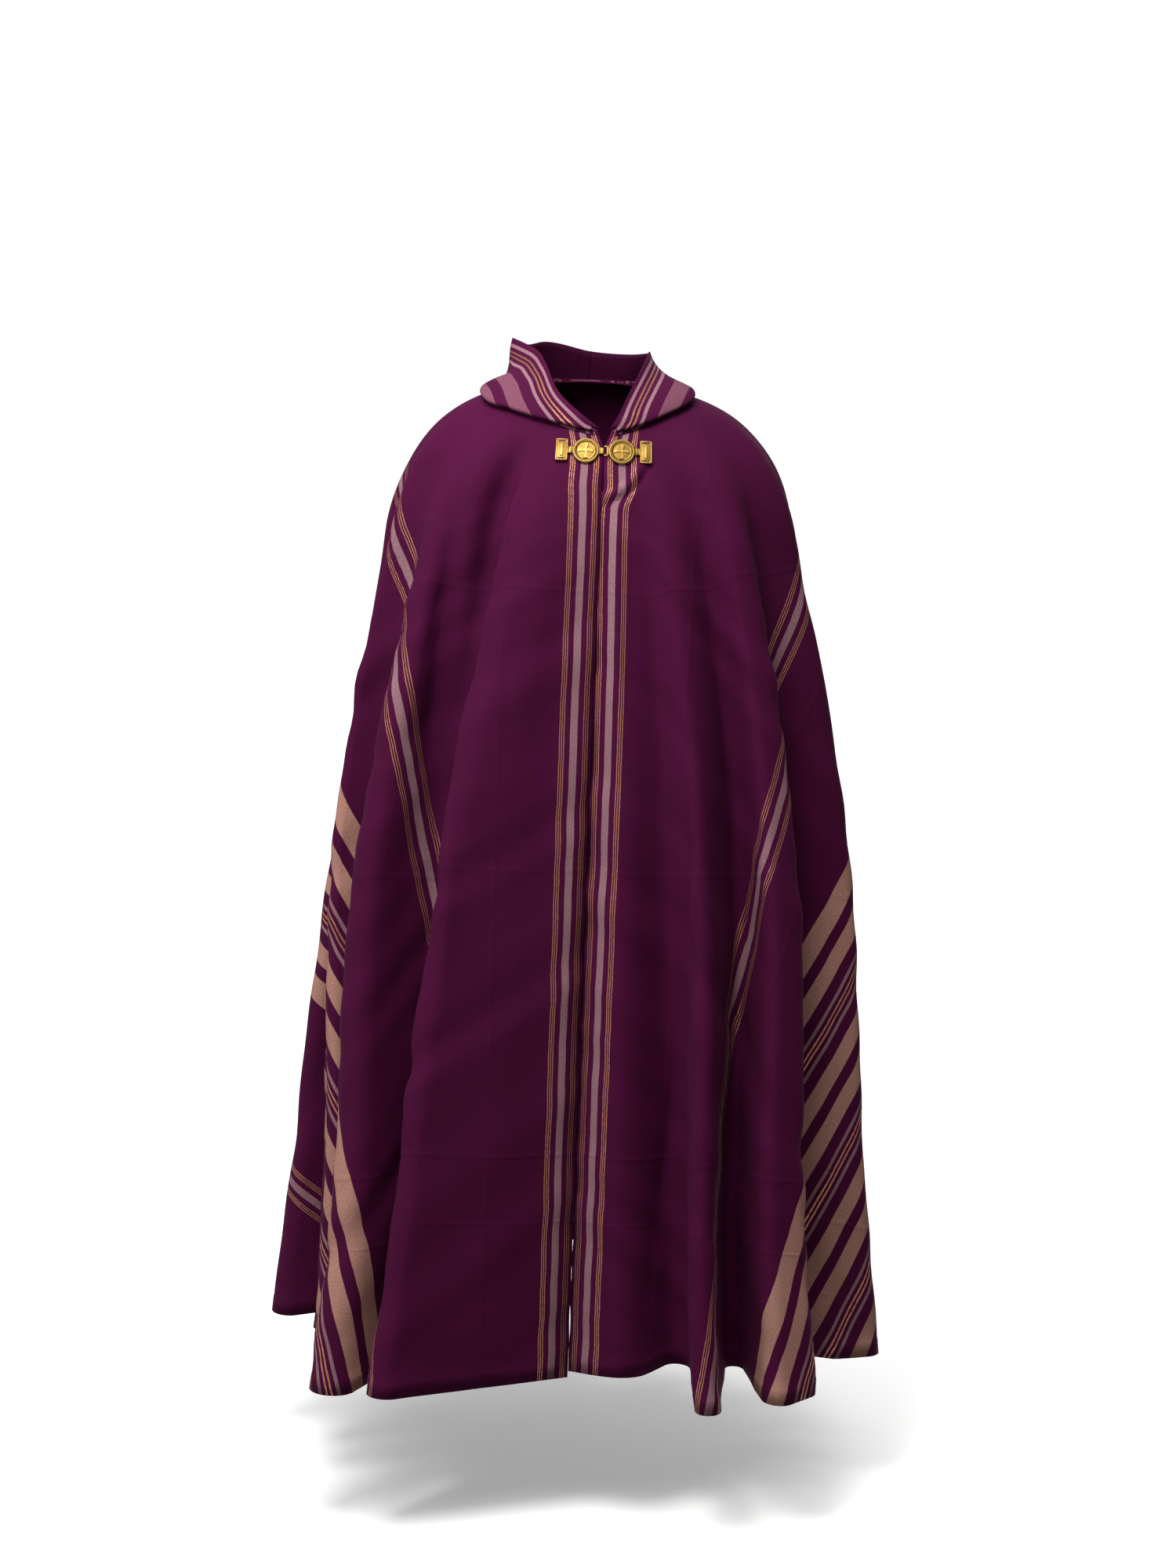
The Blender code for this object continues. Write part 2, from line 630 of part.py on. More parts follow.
def build_link(side_name, side, look):
    """A short strap that bridges the medallion's rim and the plate's inner edge."""
    medallion = place_on_front(MEDALLION_AT, side, CLASP_Z, CLASP_LIFT)
    plate = place_on_front(PLATE_AT, side, CLASP_Z, PLATE_LIFT)
    rim = max(radius for radius, _ in MEDALLION_PROFILE)
    start = medallion @ Vector((side * (rim + SEAM_GAP), 0, LINK_BASE))
    end = plate @ Vector((-side * (PLATE_SIZE[0] / 2 + SEAM_GAP), 0, LINK_BASE))
    if side < 0:
        start, end = end, start
    outward = medallion.to_3x3().col[2] + plate.to_3x3().col[2]
    place = span_place(start, end, outward)
    size = ((end - start).length - LINK_TRIM, *LINK_SIZE)
    add_shape("link_" + side_name, box_mesh("link", size), place, look)


def build_hook_and_eye(look):
    """The centre catch: an eye bar on the wearer's right and a hook plate on the left."""
    right = place_on_front(MEDALLION_AT, -1, CLASP_Z, CLASP_LIFT)
    left = place_on_front(MEDALLION_AT, 1, CLASP_Z, CLASP_LIFT)
    rim = max(radius for radius, _ in MEDALLION_PROFILE)
    start = right @ Vector((rim + SEAM_GAP, 0, LINK_BASE))
    end = left @ Vector((-rim - SEAM_GAP, 0, LINK_BASE))
    whole = (end - start).length
    place = span_place(start, end, right.to_3x3().col[2] + left.to_3x3().col[2])
    half = (whole - SEAM_GAP) / 2
    for name, at in (("eye", -1), ("hook", 1)):
        shift = place @ Matrix.Translation((at * (half + SEAM_GAP) / 2, 0, 0))
        size = (half - SEAM_GAP, *CATCH_SIZE)
        add_shape(name, box_mesh(name, size), shift, look)


def main():
    clear_scene()
    purple = make_look("purple_cloth", (0.11, 0.012, 0.07), 0.75)
    banded = make_look("banded_cloth", (0.20, 0.07, 0.11), 0.75)
    gold = make_look("gilt_brass", (0.75, 0.50, 0.10), 0.25, 1.0)
    build_cape(purple)
    build_neckband(banded)
    build_hood(banded)
    for side_name, side in (("right", -1), ("left", 1)):
        build_plate(side_name, side, gold)
        build_link(side_name, side, gold)
        build_medallion(side_name, side, gold)
    build_hook_and_eye(gold)


main()
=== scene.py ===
import math

import bmesh
import bpy
import numpy as np
from mathutils import Matrix, Vector


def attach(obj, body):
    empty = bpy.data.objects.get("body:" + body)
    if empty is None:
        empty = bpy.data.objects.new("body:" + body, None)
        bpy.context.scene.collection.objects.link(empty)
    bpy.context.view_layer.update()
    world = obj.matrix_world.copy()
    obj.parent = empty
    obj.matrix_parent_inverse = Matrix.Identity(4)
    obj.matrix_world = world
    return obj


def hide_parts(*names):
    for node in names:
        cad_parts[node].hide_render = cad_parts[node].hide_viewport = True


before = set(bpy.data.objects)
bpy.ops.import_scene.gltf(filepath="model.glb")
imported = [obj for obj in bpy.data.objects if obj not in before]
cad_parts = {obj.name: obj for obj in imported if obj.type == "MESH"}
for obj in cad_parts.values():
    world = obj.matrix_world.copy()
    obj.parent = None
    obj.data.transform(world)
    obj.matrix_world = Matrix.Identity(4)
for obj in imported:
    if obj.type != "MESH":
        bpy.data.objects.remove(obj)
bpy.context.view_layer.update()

# ---------------------------------------------------------------- driving sizes of the cut
SEAM_GAP = 0.0003            # between pieces that are sewn or hinged together
WALL = 0.002                 # the solids' cloth, which gives the layers their heights
CLOTH = 0.0014               # the woven cloth itself
HEM_FOLD = 0.0026            # cloth folded under and sewn, at the hem and the front edges
HEM_FOLD_HEIGHT = 0.022
FRONT_FACING = 0.05          # width of the facing behind the front edges
FRONT_X = 0.019              # the front opening lies this far to the wearer's left
FRONT_HALF_GAP = 0.0006
FRONT_TURN = 0.92            # only the cloth past this turn makes way at the opening
FOLD_START = 0.05            # down from the neck seam, where the folds begin
FOLD_GROWTH = 0.85
THROAT_HALF_GAP = 0.010      # a V above the clasp
THROAT_DEPTH = 0.030
BELOW_CLASP_GAP = 0.0012     # and a slight bow under it
BELOW_CLASP_DOWN = 0.085
BELOW_CLASP_SPREAD = 0.018
FACET_GAP = 0.0004           # room for the flats of the solids' mesh between layers

BAND_LIFT = WALL + SEAM_GAP + FACET_GAP
BAND_FRONT_TURN = 0.975
BAND_TOP = 0.002
BAND_SIDE_DOWN = 0.026       # its lower edge at the sides and back
BAND_FRONT_DOWN = 0.0105     # and at the fronts, where it tapers late
BAND_FRONT_EASE = 8
BAND_STRIPES_FROM = 0.629    # where in the cloth's width the neckband's front ends were cut

HOOD_SEAM_DOWN = 0.004
HOOD_LIFT = 2 * (WALL + SEAM_GAP + FACET_GAP)
HOOD_EASE = 0.018            # the under layer stands off more, the further down the back
HOOD_UNDER_CROWDING = 1.6    # its rows lie closer near the neck
HOOD_SWELL = 0.42            # how far the over layer swells up from the fold, and how steeply
HOOD_SWELL_RISE = 5.0
HOOD_EDGE_LEAN = 0.38        # how far it hangs from the face edge, and how much outward
HOOD_EDGE_FALL = 0.35
HOOD_STRIPES_FROM = 0.603    # where in the cloth's width the hood's face edge was cut
# turn, depth of the fold down from the neck seam, radius of the fold, face edge x, y, z
HOOD = (
    (-0.960, 0.0085, 0.0024, 0.010, -0.132, -0.014),
    (-0.880, 0.0150, 0.0028, -0.014, -0.123, 0.004),
    (-0.760, 0.0390, 0.0030, -0.046, -0.094, 0.034),
    (-0.600, 0.0760, 0.0030, -0.068, -0.046, 0.078),
    (-0.480, 0.0630, 0.0030, -0.083, -0.002, 0.099),
    (-0.360, 0.0620, 0.0040, -0.118, 0.056, 0.118),
    (-0.280, 0.1000, 0.0080, -0.098, 0.080, 0.111),
    (-0.200, 0.1550, 0.0110, -0.074, 0.097, 0.117),
    (0.000, 0.2300, 0.0130, -0.004, 0.120, 0.107),
    (0.200, 0.1500, 0.0110, 0.052, 0.100, 0.103),
    (0.360, 0.0600, 0.0040, 0.077, 0.050, 0.102),
    (0.480, 0.0490, 0.0030, 0.079, 0.002, 0.100),
    (0.600, 0.0620, 0.0030, 0.069, -0.050, 0.075),
    (0.760, 0.0350, 0.0030, 0.049, -0.096, 0.030),
    (0.880, 0.0150, 0.0028, 0.038, -0.122, 0.004),
    (0.960, 0.0085, 0.0024, 0.028, -0.132, -0.014),
)

# Ovals that the cloth falls over: half_width, aside, back_y, front_y, back_z, side_z, front_z
NECK_RING = (0.085, 0.0, 0.073, -0.117, 0.060, 0.050, -0.017)
CROWN_RING = (0.202, 0.002, 0.112, -0.140, 0.046, 0.036, -0.045)
SHOULDER_RING = (0.278, 0.002, 0.147, -0.155, -0.020, -0.028, -0.100)
BREAST_RING = (0.296, -0.006, 0.160, -0.165, -0.120, -0.155, -0.170)
HEM_RING = (0.400, 0.0, 0.350, -0.255, -1.325, -1.325, -1.300)
ELBOW_RIGHT = 0.044          # the arms push the cloth out below the breast
ELBOW_LEFT = 0.030
ELBOW_SHARE = 0.38           # their place between breast and hem
ELBOW_SPREAD = 0.40
ELBOW_TOP = math.exp(-((ELBOW_SHARE / ELBOW_SPREAD) ** 2))

HEM_START = (0.0135, -0.262, -1.317)
HEM_END = (0.0185, -0.262, -1.310)
# The hem runs as a belt round these: way round the pin, x, y, radius, height of the hem there
CREST, VALLEY = -1, 1
HEM_PINS = (
    (CREST, -0.232, -0.332, 0.026, -1.323),
    (VALLEY, -0.196, -0.215, 0.014, -1.318),
    (CREST, -0.306, -0.300, 0.032, -1.330),
    (VALLEY, -0.240, -0.150, 0.014, -1.318),
    (CREST, -0.330, -0.150, 0.020, -1.330),
    (VALLEY, -0.258, -0.075, 0.014, -1.318),
    (CREST, -0.340, -0.062, 0.019, -1.325),
    (VALLEY, -0.266, 0.006, 0.014, -1.315),
    (CREST, -0.404, 0.018, 0.028, -1.328),
    (VALLEY, -0.332, 0.125, 0.020, -1.312),
    (CREST, -0.362, 0.200, 0.034, -1.320),
    (VALLEY, -0.262, 0.238, 0.025, -1.312),
    (CREST, -0.205, 0.325, 0.036, -1.320),
    (VALLEY, -0.098, 0.328, 0.030, -1.315),
    (CREST, -0.005, 0.372, 0.040, -1.322),
    (VALLEY, 0.085, 0.318, 0.020, -1.315),
    (CREST, 0.175, 0.352, 0.028, -1.322),
    (VALLEY, 0.218, 0.258, 0.016, -1.315),
    (CREST, 0.318, 0.275, 0.028, -1.322),
    (VALLEY, 0.306, 0.170, 0.016, -1.315),
    (CREST, 0.408, 0.165, 0.026, -1.322),
    (VALLEY, 0.358, 0.072, 0.015, -1.315),
    (CREST, 0.432, 0.035, 0.018, -1.322),
    (VALLEY, 0.368, -0.030, 0.014, -1.318),
    (CREST, 0.440, -0.085, 0.024, -1.326),
    (CREST, 0.392, -0.100, 0.022, -1.326),
    (VALLEY, 0.305, -0.140, 0.014, -1.318),
    (CREST, 0.333, -0.262, 0.024, -1.328),
    (CREST, 0.304, -0.283, 0.022, -1.332),
    (VALLEY, 0.246, -0.205, 0.014, -1.318),
    (CREST, 0.203, -0.322, 0.017, -1.337),
    (VALLEY, 0.163, -0.256, 0.022, -1.302),
    (CREST, 0.085, -0.240, 0.045, -1.308),
)

# ---------------------------------------------------------------- how finely the cloth is drawn
OVAL_STEPS = 180             # for the length of half an oval
ARC_STEP = math.radians(15)  # hem points round a pin, and along a straight run
RUN_STEP = 0.030
UPPER_ROWS = 30              # neck seam to breast
LOWER_ROWS = 62              # breast to hem
FINE_ROWS = (60, 8)          # both again, for single points near the neck
HEM_STEP_ROWS = (0.9800, 0.9825)  # where the turned hem begins, as shares of breast to hem
HEM_STITCH_ROW = -3          # rows with stitches, counted from the last one
EDGE_STITCH_ROW = -2
# turns with columns closer together, for the sharper swells: start, end, step
FINE_TURNS = ((-0.90, -0.77, 0.0030), (0.855, 0.995, 0.0040))
LEAST_TURN = 0.0015          # columns nearer than this would cross over in a swell
DOWN_STEP = 0.002            # steps that measure the cloth's slope
TURN_STEP = 0.004
BAND_COLUMNS = 181
BAND_ROWS = 9
HOOD_HALF_COLUMNS = 73
HOOD_SEAM_HALF_TURN = 0.004  # the centre seam is a fine groove
HOOD_SEAM_SINK = 0.0009
HOOD_CALM_COLUMNS = 12       # how far the calming reaches, and in which part of the hood
HOOD_CALM_TURN = 0.42
HOOD_CALM_EASE = 0.12
HOOD_UNDER_ROWS = 18
HOOD_ROLL_ROWS = 13
HOOD_OVER_ROWS = 40

# Soft swells (rise above 0) and hollows (below 0) of the falling cloth.
# turn at the top, down from the neck seam: start and end, drift of turn per metre down,
# half width, rise
SWELLS = (
    (-0.985, 0.30, 1.20, 0.000, 0.016, 0.0020),
    (-0.962, 0.12, 0.85, 0.004, 0.030, -0.0040),
    (-0.945, 0.55, 1.45, -0.006, 0.026, 0.0035),
    (-0.930, 0.08, 0.55, 0.010, 0.022, 0.0035),
    (-0.850, 0.10, 0.70, -0.020, 0.024, 0.0040),
    (-0.790, 0.18, 0.95, 0.012, 0.030, -0.0050),
    (-0.700, 0.08, 0.60, 0.015, 0.026, 0.0045),
    (-0.615, 0.15, 1.10, -0.010, 0.034, -0.0050),
    (-0.520, 0.06, 0.50, 0.020, 0.022, 0.0040),
    (-0.440, 0.20, 1.30, 0.010, 0.036, 0.0050),
    (-0.350, 0.28, 0.95, -0.015, 0.028, -0.0045),
    (-0.240, 0.30, 1.20, 0.012, 0.034, 0.0050),
    (-0.150, 0.32, 0.80, 0.000, 0.024, -0.0040),
    (-0.060, 0.30, 1.35, 0.008, 0.036, 0.0045),
    (0.045, 0.35, 1.00, -0.010, 0.026, -0.0050),
    (0.130, 0.28, 1.25, 0.010, 0.032, 0.0045),
    (0.215, 0.25, 0.75, -0.012, 0.022, 0.0040),
    (0.300, 0.20, 1.15, 0.012, 0.034, -0.0050),
    (0.395, 0.15, 0.90, -0.008, 0.028, 0.0045),
    (0.470, 0.08, 0.55, 0.015, 0.022, -0.0035),
    (0.560, 0.10, 1.20, -0.012, 0.032, 0.0050),
    (0.640, 0.20, 0.85, 0.014, 0.026, -0.0045),
    (0.720, 0.06, 0.60, 0.000, 0.024, 0.0040),
    (0.790, 0.15, 1.00, 0.012, 0.030, -0.0045),
    (0.850, 0.08, 0.65, -0.018, 0.022, 0.0040),
    (0.905, 0.25, 1.30, 0.006, 0.024, -0.0035),
    (0.945, 0.10, 0.60, -0.010, 0.020, 0.0030),
    (0.865, 0.055, 0.112, 2.700, 0.008, 0.0055),
    (0.867, 0.068, 0.124, 2.700, 0.008, -0.0035),
    (0.972, 0.100, 0.450, 0.020, 0.006, 0.0025),
    (0.975, 0.45, 1.25, 0.004, 0.018, 0.0025),
    (-0.802, 0.05, 0.37, -0.085, 0.019, -0.0160),
    (-0.830, 0.05, 0.37, -0.085, 0.010, 0.0060),
    (-0.819, 0.22, 0.88, -0.085, 0.022, -0.0190),
    (-0.850, 0.22, 0.88, -0.085, 0.012, 0.0070),
    (-0.725, 0.12, 0.68, -0.180, 0.022, -0.0140),
    (0.876, 0.35, 1.30, 0.090, 0.014, -0.0050),
)
SWELL_EASE = 0.35            # share of a swell's length over which it rises and falls
# How the cloth stretches on the bias high up: distances from the front edge as worn, the same
# places on the flat cloth, and the depths between which the stretch fades
STRETCH_RIGHT = ((0.0, 0.270, 0.360, 0.581, 1.400), (0.0, 0.270, 0.341, 0.581, 1.230),
                 (0.42, 1.10))
STRETCH_LEFT = ((0.0, 0.060, 0.360, 0.610, 1.400), (0.0, 0.060, 0.300, 0.527, 1.270),
                (0.42, 1.55))
NECK_RADIUS_FRONT = 0.165    # of the neck curve on the flat cloth
NECK_RADIUS_BACK = 0.090
DRAWN_BACK = 0.030           # the arms draw the folds back from the front edges this far
DRAWN_TURN = 0.70            # there, and so far on either side
DRAWN_HALF_WIDTH = 0.22
DRAWN_REACH = (0.08, 1.25, 0.5265)  # start and end down from the neck seam, and the ease
BELOW_ALL = 3.0              # deeper than any hem
# Below the clasp the left front's edge is drawn under the right one: where that starts and its
# ease, how far it goes all the way down, how much more just below the clasp, and how deep
LAP_START = 0.090
LAP_EASE = 0.030
LAP = 0.0045
LAP_MORE = 0.0040
LAP_MORE_PLACE = (0.140, 0.140)  # middle and half width of that stretch
LAP_DEPTH = 0.005
LAP_REACH = 0.030
# Wool doesn't crease where a fold begins: each row is rounded off over this reach, which eases
# between two depths, with these shares of it and their weights
SOFT_REACH = ((0.30, 0.024), (0.85, 0.008))
SOFT_STEPS = ((-1.0, 1), (-0.5, 4), (0.0, 6), (0.5, 4), (1.0, 1))
RIPPLES = 14                 # faint waves all over, of uneven length and heading
RIPPLE_LENGTHS = (0.07, 0.24)
RIPPLE_HEADING = 0.12
RIPPLE_RISE = 0.0005
RIPPLE_START = (0.06, 0.25)  # down from the neck seam, and the ease there
RIPPLE_SEED = 11

UP = np.array([0.0, 0.0, 1.0])


# ---------------------------------------------------------------- the cape's form
def unit(v):
    return v / np.linalg.norm(v, axis=-1, keepdims=True)


def soft_window(at, start, end, ease):
    """1 between start and end, easing off to 0 over the ease on both sides."""
    rise = np.clip((at - start) / ease, 0, 1)
    fall = np.clip((end - at) / ease, 0, 1)
    return rise * rise * (3 - 2 * rise) * fall * fall * (3 - 2 * fall)


def curve(t, start, first, second, end):
    """A point on a smooth curve between two ends, drawn towards two others on the way."""
    u = 1 - t
    return u**3 * start + 3 * u * u * t * first + 3 * u * t * t * second + t**3 * end


def path_lengths(rows):
    """Distance from the first row down each column, for an array of rows x columns x 3."""
    steps = np.linalg.norm(np.diff(rows, axis=0), axis=2)
    return np.concatenate([np.zeros((1, rows.shape[1])), np.cumsum(steps, axis=0)])


def row_lengths(rows):
    """Distance from the first column, the wearer's right, along each row."""
    return path_lengths(rows.swapaxes(0, 1)).T


def even_angle(half_width, half_depth, turn):
    """The angle from the back at which an oval has used the turn's share of its half length."""
    angles = np.linspace(0, np.pi, OVAL_STEPS + 1)
    steps = np.hypot(half_width * np.cos(angles), half_depth * np.sin(angles))
    lengths = np.concatenate([[0.0], np.cumsum((steps[1:] + steps[:-1]) / 2)])
    return np.sign(turn) * np.interp(np.abs(turn), lengths / lengths[-1], angles)


def ring_point(ring, turn):
    """A point of a smooth oval ring at a turn from -1 to 1."""
    half_width, aside, back_y, front_y, back_z, side_z, front_z = ring
    half_depth = (back_y - front_y) / 2
    angle = even_angle(half_width, half_depth, turn)
    c = np.cos(angle)
    x = aside + half_width * np.sin(angle) + (FRONT_X - aside) * np.maximum(-c, 0) ** 3
    y = (back_y + front_y) / 2 + half_depth * c
    z = side_z + (back_z - side_z) * np.maximum(c, 0) ** 2
    z = z + (front_z - side_z) * np.maximum(-c, 0) ** 2
    return np.stack([x, y, z], axis=-1)


def belt_stops(pins, start, end):
    """The belt's stops (x, y, signed radius, height), and the heading of each run between."""
    stops = [(*start[:2], 0.0, start[2])]
    stops += [(x, y, way * radius, z) for way, x, y, radius, z in pins]
    stops += [(*end[:2], 0.0, end[2])]
    headings = []
    for (x0, y0, r0, _), (x1, y1, r1, _) in zip(stops, stops[1:]):
        lean = math.asin((r1 - r0) / math.hypot(x1 - x0, y1 - y0))
        headings.append(math.atan2(y1 - y0, x1 - x0) - lean)
    return stops, headings


def belt_points(pins, start, end):
    """Points (x, y, z) of the hem from one front edge to the other."""
    stops, headings = belt_stops(pins, start, end)
    corners = [[start]]
    for (x, y, radius, z), first, last in zip(stops[1:-1], headings, headings[1:]):
        sweep = (last - first) % (2 * math.pi)
        if radius < 0:
            sweep -= 2 * math.pi
        angles = first + sweep * np.linspace(0, 1, max(2, round(abs(sweep) / ARC_STEP)) + 1)
        corners.append([(x + radius * math.sin(a), y - radius * math.cos(a), z) for a in angles])
    corners.append([end])
    points = []
    for here, following in zip(corners, corners[1:]):
        a, b = np.array(here[-1]), np.array(following[0])
        count = max(1, round(np.linalg.norm(b - a) / RUN_STEP))
        points += here + [a + (b - a) * k / count for k in range(1, count)]
    return np.array(points + corners[-1])


def turns_of(points):
    """Each hem point's turn, from its share of the hem's whole length."""
    along = path_lengths(points[:, None])[:, 0]
    return 2 * along / along[-1] - 1


HEM = belt_points(HEM_PINS, HEM_START, HEM_END)
HEM_TURNS = turns_of(HEM)


def hem_at(turns):
    """Hem points at any turns."""
    return np.stack([np.interp(turns, HEM_TURNS, HEM[:, axis]) for axis in range(3)], axis=-1)


def smooth_columns(turn, upper_shares, lower_shares):
    """The cape without its folds: a curve over the shoulder, then a straight fall."""
    over = [ring_point(ring, turn) for ring in (NECK_RING, CROWN_RING, SHOULDER_RING, BREAST_RING)]
    breast, hem = over[-1], ring_point(HEM_RING, turn)
    rows = [curve(t, *over) for t in upper_shares]
    elbow = np.where(turn < 0, -ELBOW_RIGHT, ELBOW_LEFT) * np.sin(np.pi * turn) ** 2
    for share in lower_shares:
        row = breast + (hem - breast) * share
        spread = math.exp(-(((share - ELBOW_SHARE) / ELBOW_SPREAD) ** 2))
        row[..., 0] += elbow * (spread - (1 - share) * ELBOW_TOP)
        rows.append(row)
    return np.array(rows)


def part_the_fronts(surface, turns, down):
    """Open the fronts in a V above the clasp and keep their edges just apart below it."""
    throat = THROAT_HALF_GAP * np.clip(1 - down / THROAT_DEPTH, 0, 1)
    away = (down - BELOW_CLASP_DOWN) / BELOW_CLASP_SPREAD
    below_clasp = BELOW_CLASP_GAP * np.exp(-(away**2))
    near = np.clip((np.abs(turns) - FRONT_TURN) / (1 - FRONT_TURN), 0, 1)
    surface[..., 0] += np.sign(turns) * near * (FRONT_HALF_GAP + throat + below_clasp)
    return surface


def cape_surface(turns, upper_shares, lower_shares):
    """Rows x columns x 3 points on the middle of the cape's wall."""
    rows = smooth_columns(turns, upper_shares, lower_shares)
    down = path_lengths(rows)
    share = np.clip((down - FOLD_START) / (down[-1] - FOLD_START), 0, 1) ** FOLD_GROWTH
    surface = rows + share[..., None] * (hem_at(turns) - rows[-1])
    return part_the_fronts(surface, turns, down)


def cape_point(turns, downs):
    """Points of the cape near the neck, at turns and at distances from the neck seam."""
    turns, downs = np.broadcast_arrays(np.asarray(turns, float), np.asarray(downs, float))
    upper, lower = FINE_ROWS
    upper, lower = np.linspace(0, 1, upper, endpoint=False), np.linspace(0, 1, lower + 1)
    columns = cape_surface(turns.ravel(), upper, lower)
    lengths = path_lengths(columns)
    points = np.empty((turns.size, 3))
    for i, down in enumerate(downs.ravel()):
        for axis in range(3):
            points[i, axis] = np.interp(down, lengths[:, i], columns[:, i, axis])
    return points.reshape(turns.shape + (3,))


def cape_frame(turns, downs):
    """Point, outward normal and downward direction on the cape."""
    turns, downs = np.asarray(turns, float), np.asarray(downs, float)
    point = cape_point(turns, downs)
    downward = unit(cape_point(turns, downs + DOWN_STEP) - point)
    before = np.maximum(turns - TURN_STEP, -1)
    after = np.minimum(turns + TURN_STEP, 1)
    along = cape_point(after, downs) - cape_point(before, downs)
    return point, unit(np.cross(along, downward)), downward


def grid_normals(grid):
    """Unit normals of a grid whose rows run down and whose columns run with the turn."""
    down = np.gradient(grid, axis=0)
    along = np.gradient(grid, axis=1)
    return unit(np.cross(along, down))


# ---------------------------------------------------------------- swells and the lie of the cut
def swell_heights(turns, down, half_lengths):
    """How far the cloth stands off its plain form, for rows x columns."""
    heights = np.zeros_like(down)
    for turn, start, end, drift, half_width, rise in SWELLS:
        centre = turn + drift * (down - start)
        away = (turns - centre) * half_lengths / half_width
        ease = SWELL_EASE * (end - start)
        heights += rise * np.exp(-(away**2)) * soft_window(down, start, end, ease)
    draw = np.random.default_rng(RIPPLE_SEED)
    along = turns * half_lengths
    start, ease = RIPPLE_START
    for _ in range(RIPPLES):
        length = draw.uniform(*RIPPLE_LENGTHS)
        heading = draw.uniform(-RIPPLE_HEADING, RIPPLE_HEADING)
        phase = draw.uniform(0, 2 * np.pi)
        wave = np.sin(2 * np.pi * (along + heading * down) / length + phase)
        heights += RIPPLE_RISE * wave * soft_window(down, start, BELOW_ALL, ease)
    return heights


def draw_folds_back(grid, smooth, turns, down):
    """Move the folds by the arms a little round the body, away from the front edges."""
    near = np.exp(-(((np.abs(turns) - DRAWN_TURN) / DRAWN_HALF_WIDTH) ** 4))
    far = np.sign(turns) * DRAWN_BACK * near * soft_window(down, *DRAWN_REACH)
    return grid - far[..., None] * unit(np.gradient(smooth, axis=1))


def lap_the_fronts(grid, down):
    """Draw the edge of the wearer's left front under the right one, below the clasp."""
    along = row_lengths(grid)
    weight = np.clip(1 - (along[:, -1:] - along) / LAP_REACH, 0, 1)
    weight = weight * soft_window(down, LAP_START, BELOW_ALL, LAP_EASE)
    middle, half_width = LAP_MORE_PLACE
    lap = LAP + LAP_MORE * np.exp(-(((down - middle) / half_width) ** 2))
    grid[..., 0] -= weight * lap
    grid[..., 1] += weight * LAP_DEPTH
    return grid


def stretched(near, down, stretch):
    """Distance from the front edge on the flat cloth, from that as worn."""
    worn, flat, (top, end) = stretch
    fade = np.clip((end - down) / (end - top), 0, 1)
    return near + (np.interp(near, worn, flat) - near) * fade


def flat_places(grid, down):
    """Where each point lay on the flat cloth: s from the straight edge, t along it.
    Rows of the cape are arcs round the neck on the flat half circle. The bias cut stretches
    those arcs a little past the front stripes, most of all high up."""
    along = row_lengths(grid)
    half = along[:, -1:] / 2
    on_right = along < half
    near = np.minimum(along, 2 * half - along)
    share = near / half
    near, half = (np.where(on_right, stretched(length, down, STRETCH_RIGHT),
                           stretched(length, down, STRETCH_LEFT)) for length in (near, half))
    radius = down + NECK_RADIUS_FRONT + (NECK_RADIUS_BACK - NECK_RADIUS_FRONT) * share
    angle = near / radius + (np.pi / 2 - half / radius) * share**3
    side = np.where(on_right, -1.0, 1.0)
    return np.stack([radius * np.sin(angle), side * radius * np.cos(angle)], axis=-1)


def rounded_off(grid, down):
    """The rows with their kinks rounded off, more so high up; the front edges stay in place."""
    along = row_lengths(grid)
    depths, reaches = zip(*SOFT_REACH)
    reach = np.minimum(along, along[:, -1:] - along)
    reach = np.minimum(reach, np.interp(down, depths, reaches))
    soft = np.zeros_like(grid)
    for share, weight in SOFT_STEPS:
        at = along + share * reach
        for row in range(len(grid)):
            for axis in range(3):
                soft[row, :, axis] += weight * np.interp(at[row], along[row], grid[row, :, axis])
    return soft / sum(weight for _, weight in SOFT_STEPS)


def worn_cape(turns, upper, lower):
    """The cape's grid as worn, the distances down it and its places on the flat cloth."""
    grid = cape_surface(turns, upper, lower)
    down = path_lengths(grid)
    grid = draw_folds_back(grid, smooth_columns(turns, upper, lower), turns, down)
    grid = lap_the_fronts(grid, down)
    places = flat_places(grid, down)
    heights = swell_heights(turns[None, :], down, row_lengths(grid)[:, -1:] / 2)
    grid = rounded_off(grid, down)
    return grid + grid_normals(grid) * heights[..., None], down, places


# ---------------------------------------------------------------- the hood's form
def smooth_table(rows, at, column):
    """A table's column read at any turn, by a smooth curve through its rows."""
    turns = np.array([row[0] for row in rows])
    values = np.array([row[column] for row in rows])
    slopes = np.gradient(values, turns)
    i = np.clip(np.searchsorted(turns, at) - 1, 0, len(turns) - 2)
    width = turns[i + 1] - turns[i]
    t = (at - turns[i]) / width
    start = (1 + 2 * t) * (1 - t) ** 2 * values[i] + t * (1 - t) ** 2 * width * slopes[i]
    end = t * t * (3 - 2 * t) * values[i + 1] + t * t * (t - 1) * width * slopes[i + 1]
    return start + end


def hood_turns():
    """Columns of the whole hood; the middle one is its seam."""
    reach = HOOD[-1][0]
    half = np.linspace(0, reach, HOOD_HALF_COLUMNS)
    half = np.insert(half, 1, HOOD_SEAM_HALF_TURN)
    return np.concatenate([-half[:0:-1], half])


